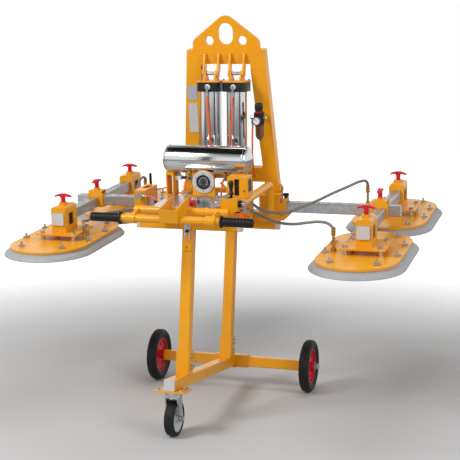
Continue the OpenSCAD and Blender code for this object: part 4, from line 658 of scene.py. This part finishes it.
tank = {"x": 6, "y": -352, "z": 285, "diameter": 130, "length": 428}


fittings = {"nipples": 13.6, "brassTo": 120, "elbowsFrom": 123, "connectorsFrom": 97, "checkHalf": 9.5}
deckButton = {"x": 22, "y": -570, "radius": 15, "above": 128.3}


def fittingRegion(c, n):
    if c.z > tank["z"] - tank["diameter"] / 2 - fittings["nipples"]:
        return "brass" if abs(c.x) < fittings["brassTo"] else "steel"
    if abs(c.x) > fittings["elbowsFrom"]:
        return "whitePlastic"
    inFront = c.y < tank["y"] - fittings["checkHalf"]
    return "blackPlastic" if abs(c.x) > fittings["connectorsFrom"] or inFront else "steel"


def deckRegion(c, n):
    out = math.hypot(c.x - deckButton["x"], c.y - deckButton["y"])
    return "blackPlastic" if out < deckButton["radius"] and c.z > deckButton["above"] else "sheet"


dress("pad_frame", lifterSpace, ["paint", "steel"], padFrameRegion, 1.5)
dress("deck_frame", lifterSpace, ["paint"], None, 1.5)
dress("handle_bars", lifterSpace, ["paint"], None, 1.2)
dress("handle_grips", lifterSpace, ["grip"], None, 0.8)
dress("deck_plate", lifterSpace, ["sheet", "blackPlastic"], deckRegion, 0.6)
dress("air_tank", lifterSpace, ["tank"], None, 0)
dress("tank_fittings", lifterSpace, ["whitePlastic", "brass", "steel", "blackPlastic"], fittingRegion, 1.0)
dress("gauge_case", lifterSpace, ["paint", "greyPlastic", "blackPlastic", "dial", "steel"], gaugeRegion, 0.8)
dress("gauge_needle", lifterSpace, ["blackPlastic"], None, 0)
dress("control_boxes", lifterSpace, ["paint", "steel", "blackPlastic", "sheet", "blackCast"], boxRegion, 1.5)
dress("valve_lever", lifterSpace, ["blackPlastic"], None, 0)
dress("blue_button", lifterSpace, ["bluePlastic"], None, 0)
for node in ("right_lock_knob", "left_lock_knob"):
    dress(node, lifterSpace, ["blackPlastic"], None, 0.4)
print("lifter frame dressed")

# Mast and cylinders
regulator = {"x": 182, "bodyFrom": 421, "bodyTo": 476, "bodyHalf": 25.5, "gaugeZ": 445, "gaugeFace": -112}


namePlates = {"front": 18.9, "x": (-200.5, -152.5), "z": (358, 590), "upperFrom": 510}


def mastRegion(c, n):  # two bare plates on the left leg
    inX = namePlates["x"][0] < c.x < namePlates["x"][1]
    if c.y < namePlates["front"] and inX and namePlates["z"][0] < c.z < namePlates["z"][1]:
        return "label" if c.z > namePlates["upperFrom"] else "greyPlastic"
    return "paint"


def regulatorRegion(c, n):
    if c.z < regulator["bodyFrom"] - 0.2:
        return "bowl"
    if c.z > regulator["bodyTo"] + 0.1:
        return "redPlastic"
    if c.y < regulator["gaugeFace"] + 0.3:
        return "dialMarks"
    if abs(c.x - regulator["x"]) > regulator["bodyHalf"]:
        return "steel"
    return "blackPlastic"


heads = {"capFrom": -41.05, "elbowsFrom": -56.3}


def headRegion(c, n):
    if c.z > heads["capFrom"]:
        return "paint"
    return "steel" if c.y < heads["elbowsFrom"] else "blackCast"


dress("lifting_plate", mastSpace, ["paint"], None, 1.2)
dress("hinge_pins", mastSpace, ["steel"], None, 0.6)
dress("regulator_body", mastSpace, ["blackPlastic", "bowl", "redPlastic", "dialMarks", "steel"],
      regulatorRegion, 0.6)
dress("regulator_knob", mastSpace, ["blackPlastic"], None, 0.5)
cylinderMiddle = cylinderSpace(1)
dress("cylinder_tubes", cylinderMiddle, ["chrome"], None, 0)
dress("cylinder_heads", cylinderMiddle, ["blackCast", "paint", "steel"], headRegion, 1.2)
dress("cylinder_rods", cylinderMiddle, ["chrome"], None, 0.6)

# The portal's top corners are nearly square on the real mast
portal = {"low": 730, "top": 764, "halfTop": 194, "lean": 0.072626, "front": 18.9, "back": 73.1}
window = {"top": 695, "halfTop": 124, "lean": 0.0855}


def mastPrism(outline, side, front, back):  # an outline of (x, z) points carried from front to back
    mesh = bmesh.new()
    faces = [[mesh.verts.new((side * x, y, z)) for x, z in outline] for y in (front, back)]
    mesh.faces.new(faces[0])
    mesh.faces.new(faces[1])
    for i in range(len(outline)):
        j = (i + 1) % len(outline)
        mesh.faces.new((faces[0][i], faces[0][j], faces[1][j], faces[1][i]))
    bmesh.ops.recalc_face_normals(mesh, faces=mesh.faces)
    return mesh


def cornerPlug(side):
    rise = portal["top"] - portal["low"]
    outline = [(portal["halfTop"] + portal["lean"] * rise + 0.1, portal["low"]),
               (portal["halfTop"] + 0.1, portal["top"] + 0.1),
               (portal["halfTop"] - 34, portal["top"] + 0.1),
               (portal["halfTop"] + portal["lean"] * rise - 8, portal["low"])]
    return mastPrism(outline, side, portal["front"], portal["back"])


def windowHalf(z):
    return window["halfTop"] + (window["top"] - z) * window["lean"]


def windowCutter(side):  # the window's upper corner, cut square
    z = window["top"]
    low = z - 25
    outline = [(windowHalf(low) - 3, low), (windowHalf(low), low), (windowHalf(z), z),
               (windowHalf(z) - 25, z), (windowHalf(z) - 25, z - 3)]
    data = bpy.data.meshes.new("window_cutter")
    mesh = mastPrism(outline, side, 10, 82)
    mesh.transform(mastSpace)
    mesh.to_mesh(data)
    mesh.free()
    return linked("window_cutter", data)


def windowLiner(side):  # sheet that closes the portal's inside behind the cut
    z = window["top"]
    low = z - 27
    outline = [(windowHalf(low), low), (windowHalf(low) + 4, low), (windowHalf(z) + 4, z + 4),
               (windowHalf(z) - 27, z + 4), (windowHalf(z) - 27, z), (windowHalf(z), z)]
    return mastPrism(outline, side, portal["front"] + 0.6, portal["back"] - 0.6)


for name, side in (("right", 1), ("left", -1)):
    newPiece(name + "_portal_corner", cornerPlug(side), mastSpace, "paint", "mast",
             bevel=1.4)
    newPiece(name + "_window_corner", windowLiner(side), mastSpace, "paint", "mast")
dress("portal_frame", mastSpace, ["paint", "label", "greyPlastic"], mastRegion, 1.6,
      cutters=[windowCutter(side) for side in (1, -1)])
print("mast dressed")

# Arms, carriages and suction corners
arms = {"sleeve": 31.4, "capsX": (-815.05, 844.05), "capsY": (-446.05, 527.95)}
corners = {
    "front_right": (757, -384, -1, 87), "rear_right": (757, 466, 1, 127),
    "front_left": (-727, -384, -1, 40), "rear_left": (-727, 466, 1, 127),
}
pad = {"dx": -13, "dy": {-1: 35, 1: -8}, "top": -109, "thick": 10, "width": 375, "length": 730,
       "tailX": 131, "tailY": -65, "tailRadius": 20, "tailHalf": 9.5, "plainTails": 100}


def armRegion(c, n):
    return "zinc" if arms["capsX"][0] <= c.x <= arms["capsX"][1] else "greyPlastic"


def carriageRegion(c, n):
    if abs(c.y) < arms["sleeve"]:
        return "paint"
    return "zinc" if arms["capsY"][0] <= c.y <= arms["capsY"][1] else "greyPlastic"


for side in ("right", "left"):
    dress(side + "_arm", lifterSpace, ["zinc", "greyPlastic"], armRegion, 2.0)
    dress(side + "_carriage", lifterSpace, ["paint", "zinc", "greyPlastic"], carriageRegion, 2.0)


bracket = {"half": 36.5, "deep": 66, "wall": 6, "from": -66, "to": 49, "bolt": 80, "boltRadius": 15,
           "bolts": (-83.1, -74.9)}


def bracketRegionWithPaintedShade(x, y):  # painted shade: the welded housing's inside faces get the black finish, standing for the shade in the cavity behind its slots
    def choose(c, n):
        inX = abs(c.x - x) < bracket["half"] - bracket["wall"] + 0.4
        inY = abs(c.y - y) < bracket["deep"] - bracket["wall"] + 0.4
        if inX and inY and bracket["from"] < c.z < bracket["to"] - bracket["wall"] + 0.4:
            # painted shade: faces inside the hollow housing are made black for the shade there
            return "blackCast"
        spot = math.hypot(abs(c.x - x) - bracket["bolt"], abs(c.y - y) - bracket["bolt"])
        low, top = bracket["bolts"]
        return "steel" if spot < bracket["boltRadius"] and not low <= c.z <= top else "paint"
    return choose


def padRegion(x, y, side, tail):
    def choose(c, n):
        if c.z < pad["top"] + 0.2:
            return "paint"
        fromTail = math.hypot(c.x - x + side * pad["tailX"], c.y - y - pad["tailY"])
        if fromTail < pad["tailRadius"]:
            sideValve = c.y > y + pad["tailY"] + pad["tailHalf"] and tail < pad["plainTails"]
            return "whitePlastic" if sideValve else "brass"
        return "steel"
    return choose


def stadium(length, width, grow, height, count=24):  # an oblong ring of points with round ends
    radius = width / 2 + grow
    half = (length - width) / 2
    ring = []
    for end in (1, -1):
        for i in range(count + 1):
            a = math.pi * i / count
            ring.append((end * radius * math.cos(a), end * (half + radius * math.sin(a)), height))
    return ring


def skirtMesh():  # the moulded lip: a closed profile carried round the oblong
    profile = [(-34, 0), (-3, 0), (-2, -3), (1, -6), (8, -9), (17, -14.5), (24, -20.5), (28.4, -25.5),
               (30, -28), (29.8, -30.6), (28, -31.9), (22, -32), (12, -31.6), (8.6, -30), (4, -24),
               (-6, -15), (-20, -7)]
    mesh = bmesh.new()
    rings = [[mesh.verts.new(p) for p in stadium(pad["length"], pad["width"], grow, height)]
             for grow, height in profile]
    count = len(rings[0])
    for a, b in zip(rings, rings[1:] + rings[:1]):
        for i in range(count):
            j = (i + 1) % count
            mesh.faces.new((a[i], a[j], b[j], b[i]))
    return mesh


for name, (x, bracketY, end, tail) in corners.items():
    side = 1 if x > 0 else -1
    y = bracketY + pad["dy"][end]
    dress(name + "_bracket", lifterSpace, ["paint", "steel", "blackCast"], bracketRegionWithPaintedShade(x, bracketY), 1.4)
    dress(name + "_pad", lifterSpace, ["paint", "steel", "brass", "whitePlastic"],
          padRegion(x + pad["dx"], y, side, tail), 0.9)
    dress(name + "_pull", lifterSpace, ["redPlastic"], None, 1.4)
    space = lifterSpace @ shifted(x + pad["dx"], y, pad["top"] - pad["thick"])
    newPiece(name + "_rubber_skirt", skirtMesh(), space, "skirt", name + "_cup",
             replaced=[name + "_skirt"])
print("arms and suction corners dressed")

# Red knobs with a cross handle stand on the carriages, their bars along the cross tubes
sleeveKnob = {"x": {1: 749, -1: -719}, "seat": 62.3, "stem": 22, "bar": 84, "top": 42, "pin": 12}


def crossHandle():
    k = sleeveKnob
    outline = [(-k["bar"] / 2, -14), (-k["bar"] / 2 + 8, -6), (-12, 0), (12, 0), (k["bar"] / 2 - 8, -6),
               (k["bar"] / 2, -14), (k["bar"] / 2 - 6, -16), (k["bar"] / 2 - 20, -13), (14, -12), (10, -18),
               (-10, -18), (-14, -12), (-k["bar"] / 2 + 20, -13), (-k["bar"] / 2 + 6, -16)]
    pin, stem = k["pin"] / 2, k["stem"] / 2
    mesh = lathe([(0, -36), (pin, -36), (pin, 0), (stem, 0), (stem, 34), (0, 34)], 40)
    sides = [[mesh.verts.new((x, y, k["top"] + z)) for y, z in outline] for x in (-10, 10)]
    mesh.faces.new(sides[0])
    mesh.faces.new(sides[1])
    for i in range(len(outline)):
        j = (i + 1) % len(outline)
        mesh.faces.new((sides[0][i], sides[0][j], sides[1][j], sides[1][i]))
    return mesh


for name, side in (("right", 1), ("left", -1)):
    space = lifterSpace @ shifted(sleeveKnob["x"][side], 0, sleeveKnob["seat"])
    newPiece(name + "_cross_knob", crossHandle(), space, "redPlastic", name + "_sleeve_pin",
             bevel=1.4, replaced=[name + "_sleeve_knob"])


# Two-lobed red release knob on the deck's front edge
def twoLobes():
    mesh = lathe([(0, -9), (5, -9), (5, 0), (10, 0), (10, 8), (0, 8)], 32)
    rows = []
    for h, grow in ((7, -3), (9, 0), (22, 0), (27, -3), (28, -8)):
        ring = []
        for i in range(64):
            a = math.tau * i / 64
            r = 12 + 8 * math.cos(a) ** 2 + grow
            ring.append(mesh.verts.new((r * math.cos(a), r * math.sin(a) * 0.9, h)))
        rows.append(ring)
    for a, b in zip(rows, rows[1:]):
        for i in range(64):
            j = (i + 1) % 64
            mesh.faces.new((a[i], a[j], b[j], b[i]))
    mesh.faces.new(rows[0])
    mesh.faces.new(rows[-1])
    return mesh


knobSpace = lifterSpace @ shifted(43, -688.3, 150) @ Matrix.Rotation(math.radians(90), 4, "X")
newPiece("release_handwheel", twoLobes(), knobSpace, "redPlastic", "release", bevel=0.8,
         replaced=["release_knob"])


def screwTree():  # geometry nodes: copies of a piece on a ring
    tree = bpy.data.node_groups.new("pieces on a ring", "GeometryNodeTree")
    tree.interface.new_socket("Piece", in_out="INPUT", socket_type="NodeSocketGeometry")
    tree.interface.new_socket("Count", in_out="INPUT", socket_type="NodeSocketInt")
    tree.interface.new_socket("Ring radius", in_out="INPUT", socket_type="NodeSocketFloat")
    tree.interface.new_socket("First angle", in_out="INPUT", socket_type="NodeSocketFloat")
    tree.interface.new_socket("Sweep", in_out="INPUT", socket_type="NodeSocketFloat")
    tree.interface.new_socket("Finish", in_out="INPUT", socket_type="NodeSocketMaterial")
    tree.interface.new_socket("Pieces", in_out="OUTPUT", socket_type="NodeSocketGeometry")
    given = addNode(tree, "NodeGroupInput")
    points = addNode(tree, "GeometryNodePoints", links={"Count": given.outputs["Count"]})
    number = addNode(tree, "GeometryNodeInputIndex")
    step = addNode(tree, "ShaderNodeMath", {"operation": "DIVIDE"},
                   {0: given.outputs["Sweep"], 1: given.outputs["Count"]})
    angle = addNode(tree, "ShaderNodeMath", {"operation": "MULTIPLY_ADD"},
                    {0: number.outputs[0], 1: step.outputs[0], 2: given.outputs["First angle"]})
    across = addNode(tree, "ShaderNodeMath", {"operation": "COSINE"}, {0: angle.outputs[0]})
    along = addNode(tree, "ShaderNodeMath", {"operation": "SINE"}, {0: angle.outputs[0]})
    spot = addNode(tree, "ShaderNodeCombineXYZ", links={"X": across.outputs[0], "Y": along.outputs[0]})
    wide = addNode(tree, "ShaderNodeVectorMath", {"operation": "SCALE"},
                   {0: spot.outputs[0], "Scale": given.outputs["Ring radius"]})
    placed = addNode(tree, "GeometryNodeSetPosition",
                     links={"Geometry": points.outputs[0], "Position": wide.outputs[0]})
    turn = addNode(tree, "ShaderNodeCombineXYZ", links={"Z": angle.outputs[0]})
    copies = addNode(tree, "GeometryNodeInstanceOnPoints",
                     links={"Points": placed.outputs["Geometry"], "Instance": given.outputs["Piece"],
                            "Rotation": turn.outputs[0]})
    real = addNode(tree, "GeometryNodeRealizeInstances", links={"Geometry": copies.outputs["Instances"]})
    finished = addNode(tree, "GeometryNodeSetMaterial",
                       links={"Geometry": real.outputs["Geometry"], "Material": given.outputs["Finish"]})
    addNode(tree, "NodeGroupOutput", links={"Pieces": finished.outputs["Geometry"]})
    return tree


ringNodes = screwTree()


def ringOf(name, mesh, count, radius, space, material, body, first=0.0, sweep=math.tau):
    single = bpy.data.meshes.new(name + "_one")
    bmesh.ops.recalc_face_normals(mesh, faces=mesh.faces)
    mesh.to_mesh(single)
    mesh.free()
    values = {"Count": count, "Ring radius": float(radius), "First angle": float(first),
              "Sweep": float(sweep), "Finish": materials[material]}
    shape = grown(name, single, ringNodes, values)
    shape.transform(space)
    shadeByAngle(shape)
    return settle(linked(name, shape), body)


def capScrew(radius, height):  # socket head cap screw with a sunk hexagon
    return lathe([(radius, 0), (radius, height * 0.85), (radius * 0.86, height), (radius * 0.5, height),
                  (radius * 0.5, height * 0.45), (0, height * 0.45)], 18)


# Gauge: dial marks and a black bezel; the ring of screws is on the dressed case
facing = Matrix.Rotation(math.radians(90), 4, "X")
dialSpace = lifterSpace @ shifted(gauge["x"], gauge["y"] - 5.0, gauge["z"]) @ facing
ringOf("gauge_marks", box(18.5, 23.5, -0.45, 0.45, 0, 0.4), 21, 0, dialSpace, "dialMarks", "lifter",
       first=math.radians(-40), sweep=math.radians(273))
ringOf("gauge_main_marks", box(16.5, 23.8, -0.8, 0.8, 0, 0.5), 6, 0, dialSpace, "dialMarks", "lifter",
       first=math.radians(-40), sweep=math.radians(312))
bezelSpace = lifterSpace @ shifted(gauge["x"], gauge["y"], gauge["z"]) @ facing
bezelProfile = [(26, 5), (26, 8.6), (28, 10.4), (31.5, 10.4), (33.5, 8.8), (33.5, 6), (26, 5)]
newPiece("gauge_bezel", lathe(bezelProfile, 64), bezelSpace, "blackPlastic", "lifter")

# Cylinders: screws in the heads, a wiper round each rod and the supply fittings
for side, name in ((1, "right"), (-1, "left")):
    space = cylinderSpace(side)
    ringOf(name + "_head_screws", capScrew(4.5, 5), 4, 68, space @ shifted(0, 0, -33), "steel", "barrels",
           first=math.radians(45))
    front = space @ shifted(0, -56, -63) @ facing
    button = lathe([(0, 0), (13, 0), (13, 5), (11, 7), (11, 12), (8, 14), (0, 14)], 32)
    newPiece(name + "_supply_button", button, front, "whitePlastic", "barrels")
    newPiece(name + "_rod_wiper", lathe([(12.7, 0), (20, 0), (20, -4), (16, -9), (12.7, -9), (12.7, 0)], 40),
             space @ shifted(0, 0, -448), "blackPlastic", "barrels")
    for height, tag in ((-85, "upper"), (-408, "lower")):
        newPiece(name + "_" + tag + "_seal_ring",
                 lathe([(50.2, -2.5), (51.6, -2.5), (52, 0), (51.6, 2.5), (50.2, 2.5), (50.2, -2.5)], 64),
                 space @ shifted(0, 0, height), "steel", "barrels")

# Regulator dial: rim and marks
regulatorDial = mastSpace @ shifted(regulator["x"], regulator["gaugeFace"], regulator["gaugeZ"]) @ facing
newPiece("regulator_rim", lathe([(17.6, 0), (17.6, 1.6), (19, 2.6), (21.4, 2.2), (21.6, 0), (17.6, 0)], 48),
         regulatorDial, "blackPlastic", "mast")
ringOf("regulator_marks", box(12, 16, -0.5, 0.5, 0.1, 0.5), 11, 0, regulatorDial, "blackPlastic", "mast",
       first=math.radians(-45), sweep=math.radians(297))
newPiece("regulator_pointer", box(-0.8, 0.8, -3, 13, 0.3, 1.0), regulatorDial @ Matrix.Rotation(0.7, 4, "Z"),
         "redPlastic", "mast")

# Rolled weld seams at the tank's ends
for side in (-1, 1):
    space = lifterSpace @ shifted(tank["x"] + side * (tank["length"] / 2 - 31), tank["y"], tank["z"])
    space = space @ Matrix.Rotation(math.radians(90), 4, "Y")
    bead = lathe([(64.6, -2.2), (65.7, -1.4), (66, 0), (65.7, 1.4), (64.6, 2.2)], 96)
    newPiece(("right" if side > 0 else "left") + "_tank_seam", bead, space, "tank", "lifter")
print("small pieces made")

# Floor, backdrop and light
studio = {"floorSize": 30, "floor": "#C2C2C2", "key": 172, "fill": 56, "top": 34, "ambient": 0.44,
          "overhead": 0.2, "clearFrom": 1.2, "clearTo": 4.6}
floorMesh = bpy.data.meshes.new("floor")
half = studio["floorSize"] / 2
floorCorners = [(-half, -half, 0), (half, -half, 0), (half, half, 0), (-half, half, 0)]
floorMesh.from_pydata(floorCorners, [], [(0, 1, 2, 3)])
dull = {"Roughness": 0.9, "Specular IOR Level": 0.1, "Base Color": linearColour(studio["floor"])}
floorMaterial, tree, principled = newMaterial("pale studio floor", dull)
rays = addNode(tree, "ShaderNodeLightPath")
where = addNode(tree, "ShaderNodeTexCoord")
far = addNode(tree, "ShaderNodeVectorMath", {"operation": "LENGTH"}, {0: where.outputs["Object"]})
fade = addNode(tree, "ShaderNodeMapRange", {"interpolation_type": "SMOOTHSTEP"},
               {"Value": far.outputs["Value"], "From Min": studio["clearFrom"], "From Max": studio["clearTo"],
                "To Min": 0.0, "To Max": 1.0})
lift = addNode(tree, "ShaderNodeMath", {"operation": "MULTIPLY"},
               {0: rays.outputs["Is Camera Ray"], 1: fade.outputs[0]})
principled.inputs["Emission Color"].default_value = (1, 1, 1, 1)
tree.links.new(lift.outputs[0], principled.inputs["Emission Strength"])
floorMesh.materials.append(floorMaterial)
linked("floor", floorMesh)

world = bpy.data.worlds.new("studio")
bpy.context.scene.world = world
world.use_nodes = True
tree = world.node_tree
tree.nodes.clear()
rays = addNode(tree, "ShaderNodeLightPath")
seen = addNode(tree, "ShaderNodeMath", {"operation": "MAXIMUM"},
               {0: rays.outputs["Is Camera Ray"], 1: rays.outputs["Is Transmission Ray"]})
direction = addNode(tree, "ShaderNodeTexCoord")
height = addNode(tree, "ShaderNodeSeparateXYZ", links={"Vector": direction.outputs["Generated"]})
dome = addNode(tree, "ShaderNodeMapRange", {"interpolation_type": "SMOOTHSTEP"},
               {"Value": height.outputs["Z"], "From Min": 0.25, "From Max": 0.8, "To Min": 1.0,
                "To Max": studio["overhead"]})
mirrored = addNode(tree, "ShaderNodeMath", {"operation": "MULTIPLY"},
                   {0: rays.outputs["Is Glossy Ray"], 1: dome.outputs[0]})
bright = addNode(tree, "ShaderNodeMath", {"operation": "MAXIMUM"},
                 {0: seen.outputs[0], 1: mirrored.outputs[0]})
others = addNode(tree, "ShaderNodeMath", {"operation": "MULTIPLY"},
                 {0: rays.outputs["Is Diffuse Ray"], 1: studio["ambient"]})
strength = addNode(tree, "ShaderNodeMath", {"operation": "MAXIMUM"},
                   {0: bright.outputs[0], 1: others.outputs[0]})
white = addNode(tree, "ShaderNodeBackground", links={"Color": (1, 1, 1, 1), "Strength": strength.outputs[0]})
addNode(tree, "ShaderNodeOutputWorld", links={"Surface": white.outputs[0]})


def softLight(name, place, target, size, watts):
    data = bpy.data.lights.new(name, "AREA")
    data.shape = "SQUARE"
    data.size = size
    data.energy = watts
    lamp = bpy.data.objects.new(name, data)
    lamp.location = place
    lamp.rotation_euler = (Vector(target) - Vector(place)).to_track_quat("-Z", "Y").to_euler()
    bpy.context.scene.collection.objects.link(lamp)


softLight("key", (-2.6, -3.6, 4.2), (0, 0, 0.9), 1.6, studio["key"])
softLight("fill", (3.6, -2.4, 2.6), (0, 0, 0.8), 2.0, studio["fill"])
softLight("top", (0.2, 0.6, 4.6), (0, 0, 0.9), 2.2, studio["top"])

# Dark cards that only reflections see give the polished metal its edges
felt = {"Roughness": 1.0, "Specular IOR Level": 0.0, "Base Color": linearColour("#0C0C0C")}
feltMaterial = newMaterial("black felt card", felt)[0]
cards = {"overhead": [(-1.6, -1.9, 3.1), (1.6, -1.9, 3.1), (1.6, 0.5, 3.5), (-1.6, 0.5, 3.5)],
         "left": [(-3.4, -1.6, 0.2), (-3.1, -2.2, 0.2), (-3.1, -2.2, 3.2), (-3.4, -1.6, 3.2)],
         "middle": [(-1.5, -4.4, 0.9), (-1.05, -4.5, 0.9), (-1.05, -4.5, 3.2), (-1.5, -4.4, 3.2)],
         "right": [(3.2, -3.2, 0.2), (3.6, -2.4, 0.2), (3.6, -2.4, 3.2), (3.2, -3.2, 3.2)]}
for side, spots in cards.items():
    cardMesh = bpy.data.meshes.new("dark_card_" + side)
    cardMesh.from_pydata(spots, [], [(0, 1, 2, 3)])
    cardMesh.materials.append(feltMaterial)
    card = linked("dark_card_" + side, cardMesh)
    card.visible_camera = False
    card.visible_shadow = False
    card.visible_diffuse = False
    card.visible_transmission = False

bpy.context.scene.view_settings.view_transform = "Standard"
